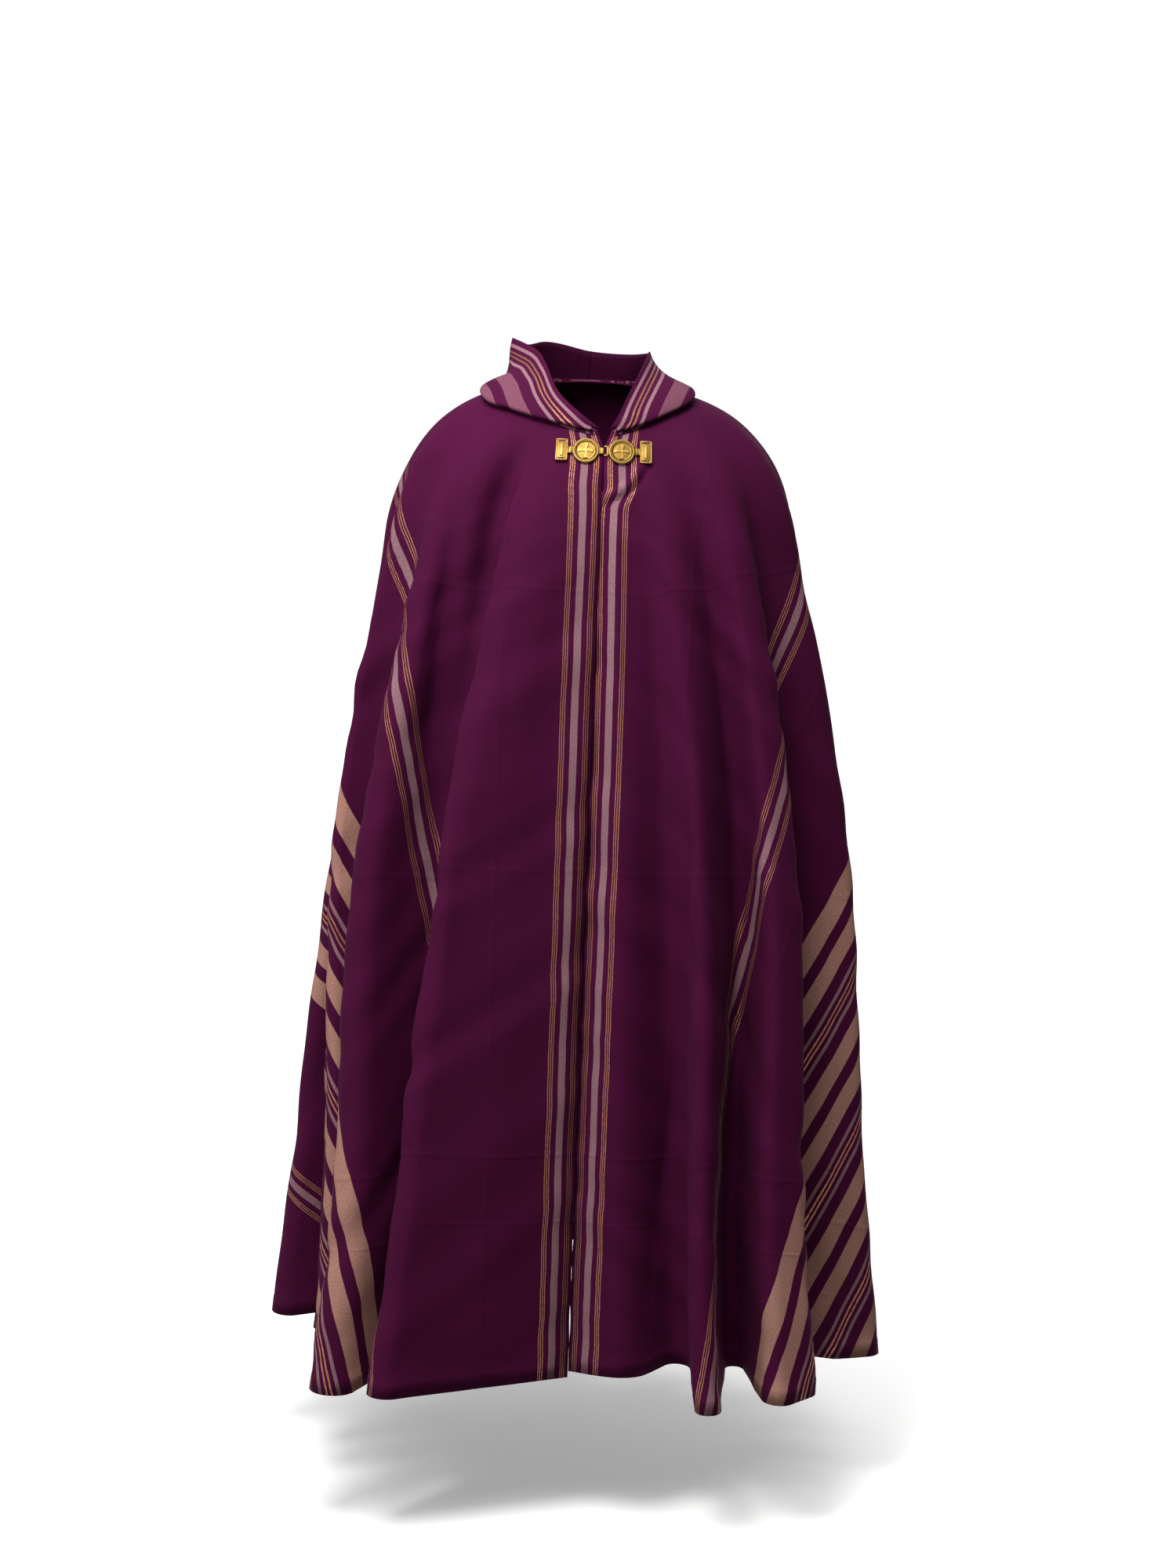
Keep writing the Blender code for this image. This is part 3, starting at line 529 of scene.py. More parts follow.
def calm(vectors, turns):
    """Vectors smoothed across the back of the hood, where it lies over the cape's folds."""
    half = HOOD_CALM_COLUMNS
    weights = np.hanning(2 * half + 3)[1:-1]
    padded = np.pad(vectors, ((half, half), (0, 0)), mode="edge")
    smooth = np.stack([np.convolve(padded[:, axis], weights / weights.sum(), mode="valid")
                       for axis in range(3)], axis=-1)
    share = np.clip((HOOD_CALM_TURN - np.abs(turns)) / HOOD_CALM_EASE, 0, 1)[:, None]
    return vectors + (smooth - vectors) * share


def hood_lift(down):
    """The under layer's height above the cape, which eases off down the back."""
    return (HOOD_LIFT + HOOD_EASE * down)[..., None]


def hood_surface(turns):
    """The hood thrown back: an under layer on the shoulders, a round fold, and an over layer
    that climbs back to the face edge."""
    depth, radius, *edge = (smooth_table(HOOD, turns, column) for column in range(1, 6))
    edge = np.stack(edge, axis=-1)
    last_down = depth - radius
    shares = [(k / HOOD_UNDER_ROWS) ** HOOD_UNDER_CROWDING for k in range(HOOD_UNDER_ROWS)]
    downs = HOOD_SEAM_DOWN + (last_down - HOOD_SEAM_DOWN) * np.array(shares)[:, None]
    points, normals, _ = cape_frame(turns, downs)
    rows = list(points + normals * hood_lift(downs))
    point, normal, downward = (calm(v, turns) for v in cape_frame(turns, last_down))
    normal, downward = unit(normal), unit(downward)
    centre = point + normal * (hood_lift(last_down) + radius[:, None])
    for k in range(HOOD_ROLL_ROWS):
        a = math.pi * k / (HOOD_ROLL_ROWS - 1)
        out = math.sin(a) * downward - math.cos(a) * normal
        rows.append(centre + radius[:, None] * out)
    start = rows[-1]
    reach = np.linalg.norm(edge - start, axis=1)[:, None]
    first = start + reach * HOOD_SWELL * unit(normal - HOOD_SWELL_RISE * downward)
    outward = unit(edge * np.array([1, 1, 0]))
    second = edge + reach * HOOD_EDGE_LEAN * unit(outward * HOOD_EDGE_FALL - UP)
    for k in range(1, HOOD_OVER_ROWS + 1):
        rows.append(curve(k / HOOD_OVER_ROWS, start, first, second, edge))
    return np.array(rows)


# ---------------------------------------------------------------- meshes
def wall_faces(rows, columns):
    """Faces of a wall with an outer grid, then an inner grid, each rows x columns."""
    at = np.arange(rows * columns).reshape(rows, columns)
    a, b, c, d = at[:-1, :-1], at[:-1, 1:], at[1:, 1:], at[1:, :-1]
    outer = np.stack([a, b, c, d], axis=-1)
    inner = np.stack([a, d, c, b], axis=-1) + at.size
    sides = np.stack([outer, inner], axis=2).reshape(-1, 4)
    rim = np.concatenate([at[0], at[1:, -1], at[-1, -2::-1], at[-2:0:-1, 0]])
    following = np.roll(rim, -1)
    ends = np.stack([following, rim, rim + at.size, following + at.size], axis=-1)
    return np.concatenate([sides, ends]).tolist()


def in_scene(name, data):
    """A new object that shows a mesh, a lamp or a camera."""
    thing = bpy.data.objects.new(name, data)
    bpy.context.scene.collection.objects.link(thing)
    return thing


def add_object(name, mesh, looks):
    for look in looks:
        mesh.materials.append(look)
    return in_scene(name, mesh)


def add_cloth(name, grid, normals, thickness, places, look, front_look=None):
    """A closed cloth wall round a grid, with its flat places as its UV map, in metres. The side
    that the normals point to may have a look of its own."""
    rows, columns = grid.shape[:2]
    out = normals * np.broadcast_to(thickness, (rows, columns))[..., None] / 2
    points = np.concatenate([(grid + out).reshape(-1, 3), (grid - out).reshape(-1, 3)])
    mesh = bpy.data.meshes.new(name)
    mesh.from_pydata(points.tolist(), [], wall_faces(rows, columns))
    corners = np.empty(len(mesh.loops), dtype=np.int32)
    mesh.loops.foreach_get("vertex_index", corners)
    flat = np.concatenate([places.reshape(-1, 2)] * 2)
    mesh.uv_layers.new(name="flat_cloth").data.foreach_set("uv", flat[corners].ravel())
    mesh.shade_smooth()
    if front_look is None:
        return add_object(name, mesh, [look])
    chosen = np.zeros(len(mesh.polygons), dtype=np.int32)
    chosen[0 : 2 * (rows - 1) * (columns - 1) : 2] = 1
    mesh.polygons.foreach_set("material_index", chosen)
    return add_object(name, mesh, [look, front_look])


def sewing_line(grid, normals, row):
    """A line of stitches along a grid's row, on the face of the cloth."""
    return grid[row] + normals[row] * CLOTH / 2


def not_crowded(turns):
    """The columns without those that lie almost on the one before."""
    kept = [turns[0]]
    for turn in turns[1:]:
        if turn - kept[-1] >= LEAST_TURN:
            kept.append(turn)
    kept[-1] = turns[-1]
    return np.array(kept)


def build_cape(look):
    """The cape and the line of its hem's stitches."""
    upper = np.linspace(0, 1, UPPER_ROWS, endpoint=False)
    lower = np.sort(np.concatenate([np.linspace(0, 1, LOWER_ROWS + 1), HEM_STEP_ROWS]))
    fine = [np.arange(start, end, step) for start, end, step in FINE_TURNS]
    turns = not_crowded(np.sort(np.concatenate([HEM_TURNS] + fine)))
    grid, down, places = worn_cape(turns, upper, lower)
    normals = grid_normals(grid)
    folded = (down[-1] - down < HEM_FOLD_HEIGHT) | (places[..., 0] < FRONT_FACING)
    thickness = np.where(folded, HEM_FOLD, CLOTH)
    cape = add_cloth("cape_cloth", grid, normals, thickness, places, look)
    return cape, sewing_line(grid, normals, HEM_STITCH_ROW)


def build_neckband(look):
    """The neckband and the line of its lower stitches."""
    turns = np.linspace(-BAND_FRONT_TURN, BAND_FRONT_TURN, BAND_COLUMNS)
    front = np.maximum(-np.cos(np.pi * turns), 0) ** BAND_FRONT_EASE
    end_down = BAND_SIDE_DOWN + (BAND_FRONT_DOWN - BAND_SIDE_DOWN) * front
    shares = np.linspace(0, 1, BAND_ROWS)[:, None]
    grid, normals, _ = cape_frame(turns, BAND_TOP + (end_down - BAND_TOP) * shares)
    grid = grid + normals * BAND_LIFT
    along = row_lengths(grid)
    near = np.minimum(along, along[:, -1:] - along)
    places = np.stack([BAND_STRIPES_FROM + near, path_lengths(grid)], axis=-1)
    band = add_cloth("neckband_cloth", grid, normals, CLOTH, places, look)
    return band, sewing_line(grid, normals, EDGE_STITCH_ROW)


def build_hood(look, lining):
    """Two halves that meet in a seam down the centre back, each with its side's name and the
    line of its edge's stitches. The normals point into the hood."""
    grid = hood_surface(hood_turns())
    normals = grid_normals(grid)
    down = path_lengths(grid)
    places = np.stack([HOOD_STRIPES_FROM + down[-1:] - down, row_lengths(grid)], axis=-1)
    middle = grid.shape[1] // 2
    grid[:, middle] -= normals[:, middle] * HOOD_SEAM_SINK
    edge = sewing_line(grid, normals, EDGE_STITCH_ROW)
    halves = []
    for side_name, half, sewn in (("right", slice(0, middle + 1), slice(0, middle)),
                                  ("left", slice(middle, None), slice(middle + 1, None))):
        cloth = add_cloth(f"hood_{side_name}_cloth", grid[:, half], normals[:, half], CLOTH,
                          places[:, half], look, lining)
        halves.append((side_name, cloth, edge[sewn]))
    return halves


# ---------------------------------------------------------------- the clasp's sizes
CLASP_Z = -0.048
CLASP_TURN = 0.9             # where the search for the clasp's place on the cloth begins
CLASP_DOWN = 0.033
CLASP_SEARCH_STEPS = 12
PLATE_AT = 0.058             # middles of the clasp's pieces, out from the front opening
MEDALLION_AT = 0.0246
MEDALLION_LIFT = 0.0031      # the pieces' backs, above the middle of the cape's wall
PLATE_LIFT = 0.0026
PLATE_SIZE = (0.0165, 0.0345, 0.0022)
PLATE_RIM = 0.0016           # width of the plate's raised border
PLATE_FIELD_HEIGHT = 0.0014
SLOT_SIZE = (0.0090, 0.0022)
SLOT_AT = 0.0140
SLOT_WRAPS = 5               # turns of thread in each slot
WRAP_FILL = 0.98             # shares of the slot's width and length that they fill
WRAP_SPREAD = 0.92
WRAP_HEIGHT = 0.0011
WRAP_Z = 0.0006
PLATE_RIB = (0.0042, 0.0200, 0.0013)
LINK_SIZE = (0.0100, 0.0016)
LINK_STRAP = 0.0096          # height of the strap between its knuckles
LINK_BASE = 0.0004
LINK_RIDGE = (0.35, 0.6, 0.0006)  # shares of the link's length and height, and thickness
KNUCKLE_RADIUS = 0.0011
CATCH_SIZE = (0.0150, 0.0017)
TONGUE_HEIGHT = 0.0088
TONGUE_KNUCKLE = 0.00968
TONGUE_PLACE = (-0.46, 0.84)  # middle and length, as shares of half the catch
ARM_PLACE = (0.52, 0.92)     # the same for the hook's two arms
BRACKET_ARM = 0.00182
BRACKET_POST = 0.00208
MEDALLION_RADIUS = 0.0185
# turned profile of a medallion, outside in: radius, height
MEDALLION_PROFILE = (
    (0.0174, 0.0000),
    (0.0182, 0.0002),
    (0.0185, 0.0007),
    (0.0185, 0.0014),
    (0.0182, 0.0019),
    (0.0177, 0.0023),
    (0.0171, 0.0026),
    (0.0165, 0.0027),
    (0.0160, 0.0026),
    (0.0156, 0.0022),
    (0.0153, 0.0018),
    (0.0150, 0.0018),
    (0.0147, 0.0021),
    (0.0143, 0.0023),
    (0.0139, 0.0021),
    (0.0136, 0.0016),
    (0.0133, 0.0012),
    (0.0128, 0.0010),
    (0.0110, 0.0011),
    (0.0080, 0.0013),
    (0.0040, 0.0014),
)
MEDALLION_SIDES = 96
LUG_SIZE = (0.0030, 0.0014)  # the ears that carry the hinges: length and thickness
LUG_AT = (0.0175, 0.0009)    # out from the middle, and up
MEDALLION_SHADE_LEVELS = (0.0014, 0.0022)  # painted shade: the gilt's colour is darkened below one height, not above
PLATE_SHADE_LEVELS = (0.0014, 0.0020)
FIELD_HEIGHT = 0.0011        # where the cross stands up from
CROSS_HEIGHT = 0.0015
CROSS_ARMS = ((0, 0.0108), (90, 0.0104), (180, 0.0108), (270, 0.0116))  # degrees, reach
CROSS_HALF_MIDDLE = 0.0009
CROSS_HALF_END = 0.0031
CROSS_FLARE = 2.2            # the arms widen late, near their ends
CROSS_STEPS = 7              # points along each arm's side
LOOP_CENTRE = (0.0005, 0.0070)
LOOP_RADII = (0.0034, 0.0020)
LOOP_HEIGHT = 0.0014
LOOP_STEPS = 18
# how far the edges of cast and tumbled metal are rounded
EDGE_SHARP, EDGE_THIN, EDGE_SMALL, EDGE_SOFT, EDGE_ROUND = 0.0001, 0.0002, 0.0003, 0.0004, 0.0005
CRISP_ANGLE = math.radians(38)  # steeper corners than this stay crisp


# ---------------------------------------------------------------- the clasp
def frame_matrix(across, up, out, origin):
    """A matrix from its three axes and its origin."""
    place = Matrix.Identity(4)
    for axis, column in enumerate((across, up, out)):
        place.col[axis] = (*column, 0)
    place.translation = Vector(origin)
    return place


def place_on_front(out, side, lift):
    """A matrix at a spot on the fronts: X runs level across the cloth and Z stands off it.
    The spot's turn and depth are found by steps down the slope to its place seen from ahead."""
    turn, down = side * CLASP_TURN, CLASP_DOWN
    goal = np.array([FRONT_X + side * out, CLASP_Z])
    for _ in range(CLASP_SEARCH_STEPS):
        here = cape_point(turn, down)[[0, 2]]
        back = -side * TURN_STEP
        by_turn = (cape_point(turn + back, down)[[0, 2]] - here) / back
        by_down = (cape_point(turn, down + DOWN_STEP)[[0, 2]] - here) / DOWN_STEP
        step = np.linalg.solve(np.array([by_turn, by_down]).T, goal - here)
        turn = side * min(abs(turn + step[0]), 1)
        down = down + step[1]
    point, normal, _ = cape_frame(turn, down)
    across = unit(np.cross(UP, normal))
    return frame_matrix(across, np.cross(normal, across), normal, point + normal * lift)


def between(first, last):
    """A matrix midway between two of the clasp's pieces, X from one to the other, and the length
    there. Each piece is its matrix and its half width."""
    start = first[0] @ Vector((first[1] + SEAM_GAP, 0, LINK_BASE))
    end = last[0] @ Vector((-last[1] - SEAM_GAP, 0, LINK_BASE))
    across = (end - start).normalized()
    up = (first[0].to_3x3().col[2] + last[0].to_3x3().col[2]).cross(across).normalized()
    place = frame_matrix(across, up, across.cross(up), (start + end) / 2)
    return place, (end - start).length


def merge_into(shape, other):
    """Add a bmesh's faces to another one and free it."""
    mesh = bpy.data.meshes.new("merged")
    other.to_mesh(mesh)
    shape.from_mesh(mesh)
    bpy.data.meshes.remove(mesh)
    other.free()


def soften(shape, edges, width, segments=3, profile=0.5, clamp_overlap=False):
    """Round some of a bmesh's edges."""
    bmesh.ops.bevel(shape, geom=edges, offset=width, segments=segments, profile=profile,
                    affect="EDGES", clamp_overlap=clamp_overlap)


def join_rings(shape, outer, inner):
    """A band of faces between two rings with equally many points."""
    for k in range(len(outer)):
        following = (k + 1) % len(outer)
        shape.faces.new((outer[k], outer[following], inner[following], inner[k]))


def round_box(shape, centre, size, edge):
    """A box with rounded edges, added to a bmesh."""
    box = bmesh.new()
    bmesh.ops.create_cube(box, size=1)
    for v in box.verts:
        v.co = Vector(centre) + Vector([v.co[k] * size[k] for k in range(3)])
    soften(box, box.edges[:], edge)
    merge_into(shape, box)


def knuckle(shape, x, length):
    """A hinge knuckle: a short cylinder along Y with rounded ends, lying on the cloth's side."""
    turned = bmesh.new()
    bmesh.ops.create_cone(turned, cap_ends=True, segments=20, radius1=KNUCKLE_RADIUS,
                          radius2=KNUCKLE_RADIUS, depth=length)
    level = KNUCKLE_RADIUS / 100
    caps = [e for e in turned.edges if abs(e.verts[0].co.z - e.verts[1].co.z) < level]
    soften(turned, caps, KNUCKLE_RADIUS / 4, segments=2)
    lay = Matrix.Translation((x, 0, KNUCKLE_RADIUS)) @ Matrix.Rotation(math.pi / 2, 4, "X")
    bmesh.ops.transform(turned, matrix=lay, verts=turned.verts)
    merge_into(shape, turned)


def turned_disc(shape, profile, sides):
    """A closed round shape from a profile of (radius, height), with a flat back."""
    angles = [2 * math.pi * k / sides for k in range(sides)]
    rings = [[shape.verts.new((radius * math.cos(a), radius * math.sin(a), height))
              for a in angles] for radius, height in profile]
    for outer, inner in zip(rings, rings[1:]):
        join_rings(shape, outer, inner)
    shape.faces.new(rings[0][::-1])
    middle = shape.verts.new((0, 0, profile[-1][1]))
    for k in range(sides):
        shape.faces.new((rings[-1][k], rings[-1][(k + 1) % sides], middle))


def cross_outline():
    """A cross with arms that flare from a narrow middle; the foot is the longest."""
    points = []
    for degrees, reach in CROSS_ARMS:
        a = math.radians(degrees)
        out = np.array([math.cos(a), math.sin(a)])
        side = np.array([-math.sin(a), math.cos(a)])
        edge = []
        for share in np.linspace(0, 1, CROSS_STEPS):
            along = 2 * CROSS_HALF_MIDDLE + (reach - 2 * CROSS_HALF_MIDDLE) * share
            widening = (CROSS_HALF_END - CROSS_HALF_MIDDLE) * share**CROSS_FLARE
            edge.append((along, CROSS_HALF_MIDDLE + widening))
        points += [out * along - side * half for along, half in edge]
        points += [out * along + side * half for along, half in edge[::-1]]
    return points


def loop_outline():
    """The small loop at the head of the cross: a crescent, round on its outer side."""
    x, y = LOOP_CENTRE
    angles = [math.radians(180 * k / LOOP_STEPS - 90) for k in range(LOOP_STEPS + 1)]
    outside, inside = [[(x + radius * math.cos(a), y + radius * math.sin(a)) for a in angles]
                       for radius in LOOP_RADII]
    return outside + inside[::-1]


def raised_outline(shape, outline, height, edge):
    """An outline raised from a medallion's field, with softened upper edges."""
    lifted = bmesh.new()
    low, high = ([lifted.verts.new((x, y, z)) for x, y in outline]
                 for z in (FIELD_HEIGHT, FIELD_HEIGHT + height))
    lifted.faces.new(low[::-1])
    lifted.faces.new(high)
    join_rings(lifted, low, high)
    middle = FIELD_HEIGHT + height / 2
    top = [e for e in lifted.edges if all(v.co.z > middle for v in e.verts)]
    soften(lifted, top, edge, profile=0.6, clamp_overlap=True)
    merge_into(shape, lifted)


def settle(name, shape, place, look, low=0.0, high=0.0001):
    """Finish a clasp piece's mesh in its place, with smooth faces and crisp corners. Below the high
    level each point is marked for painted shade, which darkens the gilt's colour there."""
    bmesh.ops.recalc_face_normals(shape, faces=shape.faces)
    mesh = bpy.data.meshes.new(name)
    shape.to_mesh(mesh)
    shape.free()
    hollow_shade_levels = [min(max((high - v.co.z) / (high - low), 0.0), 1.0) for v in mesh.vertices]
    mesh.attributes.new("painted_hollow_shade", "FLOAT", "POINT").data.foreach_set("value", hollow_shade_levels)
    mesh.transform(place)
    mesh.shade_smooth()
    mesh.set_sharp_from_angle(angle=CRISP_ANGLE)
    return add_object(name, mesh, [look])


def build_medallion(side_name, place, look):
    shape = bmesh.new()
    turned_disc(shape, MEDALLION_PROFILE, MEDALLION_SIDES)
    raised_outline(shape, cross_outline(), CROSS_HEIGHT, EDGE_SOFT)
    raised_outline(shape, loop_outline(), LOOP_HEIGHT, EDGE_SMALL)
    for way in (-1, 1):
        centre = (way * LUG_AT[0], 0, LUG_AT[1])
        round_box(shape, centre, (LUG_SIZE[0], LINK_SIZE[0], LUG_SIZE[1]), EDGE_SMALL)
    return settle(f"medallion_{side_name}_gilt", shape, place, look, *MEDALLION_SHADE_LEVELS)


def plate_cells():
    """The plate's field round its two slots, as rectangles (x0, x1, y0, y1)."""
    x, y, slot_x = PLATE_SIZE[0] / 2, PLATE_SIZE[1] / 2, SLOT_SIZE[0] / 2
    low, high = SLOT_AT - SLOT_SIZE[1] / 2, SLOT_AT + SLOT_SIZE[1] / 2
    cells = [(-x, x, -low, low)]
    for beside, beyond in (((-high, -low), (-y, -high)), ((low, high), (high, y))):
        cells += [(-x, -slot_x, *beside), (slot_x, x, *beside), (-x, x, *beyond)]
    return cells


def build_plate(side_name, place, look):
    shape = bmesh.new()
    for x0, x1, y0, y1 in plate_cells():
        centre = ((x0 + x1) / 2, (y0 + y1) / 2, PLATE_FIELD_HEIGHT / 2)
        round_box(shape, centre, (x1 - x0, y1 - y0, PLATE_FIELD_HEIGHT), EDGE_SHARP)
    width, height, thick = PLATE_SIZE
    for way in (-1, 1):
        centre = (way * (width - PLATE_RIM) / 2, 0, thick / 2)
        round_box(shape, centre, (PLATE_RIM, height, thick), EDGE_SOFT)
        centre = (0, way * (height - PLATE_RIM) / 2, thick / 2)
        round_box(shape, centre, (width, PLATE_RIM, thick), EDGE_SOFT)
    centre = (0, 0, PLATE_FIELD_HEIGHT + PLATE_RIB[2] / 2 - EDGE_SHARP)
    round_box(shape, centre, PLATE_RIB, EDGE_ROUND)
    return settle(f"plate_{side_name}_gilt", shape, place, look, *PLATE_SHADE_LEVELS)


def build_plate_thread(side_name, place, look):
    """The thread that holds a plate: a few wraps of it in each slot."""
    shape = bmesh.new()
    size = (SLOT_SIZE[0] / SLOT_WRAPS, SLOT_SIZE[1] * WRAP_FILL, WRAP_HEIGHT)
    for way in (-1, 1):
        for k in range(SLOT_WRAPS):
            x = SLOT_SIZE[0] * ((k + 0.5) / SLOT_WRAPS - 0.5) * WRAP_SPREAD
            wrap = bmesh.new()
            bmesh.ops.create_icosphere(wrap, subdivisions=2, radius=0.5)
            bmesh.ops.scale(wrap, vec=size, verts=wrap.verts)
            bmesh.ops.translate(wrap, vec=(x, way * SLOT_AT, WRAP_Z), verts=wrap.verts)
            merge_into(shape, wrap)
    return settle(f"plate_thread_{side_name}", shape, place, look)


def build_link(side_name, place, length, look):
    """A short strap between medallion and plate, with a hinge knuckle at each end."""
    height, thick = LINK_SIZE
    shape = bmesh.new()
    strap = (length - 2 * KNUCKLE_RADIUS, LINK_STRAP, thick)
    round_box(shape, (0, 0, thick / 2), strap, EDGE_SOFT)
    ridge = (length * LINK_RIDGE[0], height * LINK_RIDGE[1], LINK_RIDGE[2])
    round_box(shape, (0, 0, thick), ridge, EDGE_THIN)
    for way in (-1, 1):
        knuckle(shape, way * (length / 2 - KNUCKLE_RADIUS), height)
    return settle(f"link_{side_name}_gilt", shape, place, look)


def build_eye(place, half, look):
    """The wearer's right side of the catch: a broad tongue hinged to the medallion."""
    thick = CATCH_SIZE[1]
    middle, length = TONGUE_PLACE
    shape = bmesh.new()
    size = (half * length, TONGUE_HEIGHT, thick)
    round_box(shape, (half * middle, 0, thick / 2), size, EDGE_ROUND)
    knuckle(shape, -half + KNUCKLE_RADIUS, TONGUE_KNUCKLE)
    return settle("eye_gilt", shape, place, look)


def build_hook(place, half, look):
    """The wearer's left side of the catch: a bracket whose two arms hold the tongue."""
    height, thick = CATCH_SIZE
    middle, length = ARM_PLACE
    shape = bmesh.new()
    size = (BRACKET_POST, height, thick)
    round_box(shape, (half - BRACKET_POST / 2, 0, thick / 2), size, EDGE_ROUND)
    for way in (-1, 1):
        centre = (half * middle, way * (height - BRACKET_ARM) / 2, thick / 2)
        round_box(shape, centre, (half * length, BRACKET_ARM, thick), EDGE_ROUND)
    return settle("hook_gilt", shape, place, look)


# ---------------------------------------------------------------- nodes
def feed(node, inputs):
    """Give a node its inputs, by name or in the order of those in use. Each is a value, another
    node's socket, or another node, which then gives its output in use."""
    if not isinstance(inputs, dict):
        in_use = [k for k, socket in enumerate(node.inputs) if socket.enabled]
        inputs = dict(zip(in_use, inputs))
    for key, value in inputs.items():
        if isinstance(value, bpy.types.Node):
            value = next(socket for socket in value.outputs if socket.enabled)
        if isinstance(value, bpy.types.NodeSocket):
            node.id_data.links.new(value, node.inputs[key])
        else:
            node.inputs[key].default_value = value


def add_node(tree, kind, inputs=(), **settings):
    """A new node with its settings and its inputs."""
    new = tree.nodes.new(kind)
    for name, value in settings.items():
        setattr(new, name, value)
    feed(new, inputs)
    return new


MATH = "ShaderNodeMath"
VECTOR = "ShaderNodeVectorMath"
NOISE = "ShaderNodeTexNoise"  # its inputs in order: place, scale, detail
RANGE = "ShaderNodeMapRange"  # its inputs in order: value, from, from, to, to
BLEND = "ShaderNodeMix"       # its inputs in order: factor, one colour, the other


# ---------------------------------------------------------------- stitches
STITCH_INPUTS = (
    ("Spacing", "Float", 0.005),
    ("Length", "Float", 0.0034),
    ("Thickness", "Float", 0.0007),
    ("Unevenness", "Float", 0.12),
    ("Seed", "Int", 3),
)


def stitch_tree(look):
    """Geometry Nodes that lay plump little stitches end to end along a line."""
    tree = bpy.data.node_groups.new("running_stitch", "GeometryNodeTree")
    face = tree.interface
    face.new_socket("Line", in_out="INPUT", socket_type="NodeSocketGeometry")
    for name, kind, value in STITCH_INPUTS:
        face.new_socket(name, socket_type="NodeSocket" + kind).default_value = value
    face.new_socket("Stitches", in_out="OUTPUT", socket_type="NodeSocketGeometry")
    given = add_node(tree, "NodeGroupInput").outputs
    path = add_node(tree, "GeometryNodeMeshToCurve", {"Mesh": given["Line"]})
    even = add_node(tree, "GeometryNodeResampleCurve",
                    {"Curve": path, "Length": given["Spacing"]}, mode="LENGTH")
    size = add_node(tree, "ShaderNodeCombineXYZ",
                    (given["Thickness"], given["Thickness"], given["Length"]))
    ball = add_node(tree, "GeometryNodeMeshIcoSphere", {"Radius": 0.5, "Subdivisions": 1})
    stitch = add_node(tree, "GeometryNodeTransform", {"Geometry": ball, "Scale": size})
    wobble = add_node(tree, "FunctionNodeRandomValue", {"Seed": given["Seed"]},
                      data_type="FLOAT_VECTOR")
    centred = add_node(tree, VECTOR, (wobble, (0.5, 0.5, 0.5)), operation="SUBTRACT")
    scaled = add_node(tree, VECTOR, (centred, given["Unevenness"]), operation="SCALE")
    tangent = add_node(tree, "GeometryNodeInputTangent")
    heading = add_node(tree, VECTOR, (tangent, scaled), operation="ADD")
    aim = add_node(tree, "FunctionNodeAlignRotationToVector", {"Vector": heading}, axis="Z")
    laid = add_node(tree, "GeometryNodeInstanceOnPoints",
                    {"Points": even, "Instance": stitch, "Rotation": aim})
    real = add_node(tree, "GeometryNodeRealizeInstances", {"Geometry": laid})
    shown = add_node(tree, "GeometryNodeSetMaterial", {"Geometry": real, "Material": look})
    add_node(tree, "NodeGroupOutput", {"Stitches": shown})
    return tree


def sew(name, line, tree, look, **sizes):
    """Stitches along a line of points, as a plain mesh."""
    path = bpy.data.meshes.new(name + "_line")
    path.from_pydata(line.tolist(), [(k, k + 1) for k in range(len(line) - 1)], [])
    guide = in_scene(name + "_line", path)
    step = guide.modifiers.new("stitches", "NODES")
    step.node_group = tree
    sockets = {item.name: item.identifier for item in tree.interface.items_tree}
    for key, value in sizes.items():
        step[sockets[key]] = value
    done = guide.evaluated_get(bpy.context.evaluated_depsgraph_get())
    mesh = bpy.data.meshes.new_from_object(done)
    bpy.data.objects.remove(guide, do_unlink=True)
    mesh.materials.clear()
    mesh.shade_smooth()
    mesh.name = name
    return add_object(name, mesh, [look])


# ---------------------------------------------------------------- finishes
# The stripes lie along the cloth. Their places are metres from the middle of its width.
CLOTH_MIDDLE = 0.75
TAN_BANDS = ((0.0425, 0.0115), (0.0815, 0.0115), (0.1665, 0.0115), (0.2085, 0.0145))
THIN_GROUP = 0.124           # beside the one on the middle itself
WIDE_GROUPS = (0.450, 0.725)
THIN_MAUVE = (0.0125, 0.0025)  # from the middle of a thin group: place and half width
THIN_GOLD = (0.0031, 0.0013)
WIDE_MAUVE = (0.0, 0.0050)
WIDE_GOLD = (0.01625, 0.00375)
GOLD_PITCH = 0.0029          # three gold lines in each gold stripe of a wide group
GOLD_HALF_LINE = 0.0006
PURPLE_DYE = "#40082D"
MAUVE_YARN = "#88656C"
WOOL_ROUGHNESS = 0.84
GOLD_ROUGHNESS = 0.42        # of the metal-wrapped yarn, and how far it is metal
GOLD_METAL = 0.55
STRIPE_WANDER = 0.0003       # the stripes' edges aren't ruled
YARN_PITCH = 0.0013          # real yarns lie 0.5 mm apart, drawn coarser so that they show
YARN_HEIGHT = 0.00012
# uneven yarns, as waves for each metre across and along the stripes
SLUBS = ((900, 160, 1), (160, 700, 1))
SLUB_HEIGHT = 0.00030
FLECKS = (520, 420, 1)
# painted glints on the gold yarn: spots of fuller gold colour, which are also more metal
GLINTS = (700, 190, 1)
# storage creases across the stripes and along them: place on the flat cloth, half width, height
CREASES_ACROSS = ((1.170, 0.006, 0.00050), (1.262, 0.004, 0.00035),
                  (0.780, 0.007, 0.00040), (0.395, 0.006, 0.00040))
CREASES_ALONG = ((0.128, 0.005, 0.00035), (0.372, 0.007, 0.00045),
                 (0.905, 0.007, 0.00045), (1.210, 0.006, 0.00040))
GILT_DIMPLE = 0.00003        # depth of the tumbled metal's dimples
HOLLOW_SHADE = 0.62          # how far the gilt's colour is darkened in the hollows: painted shade
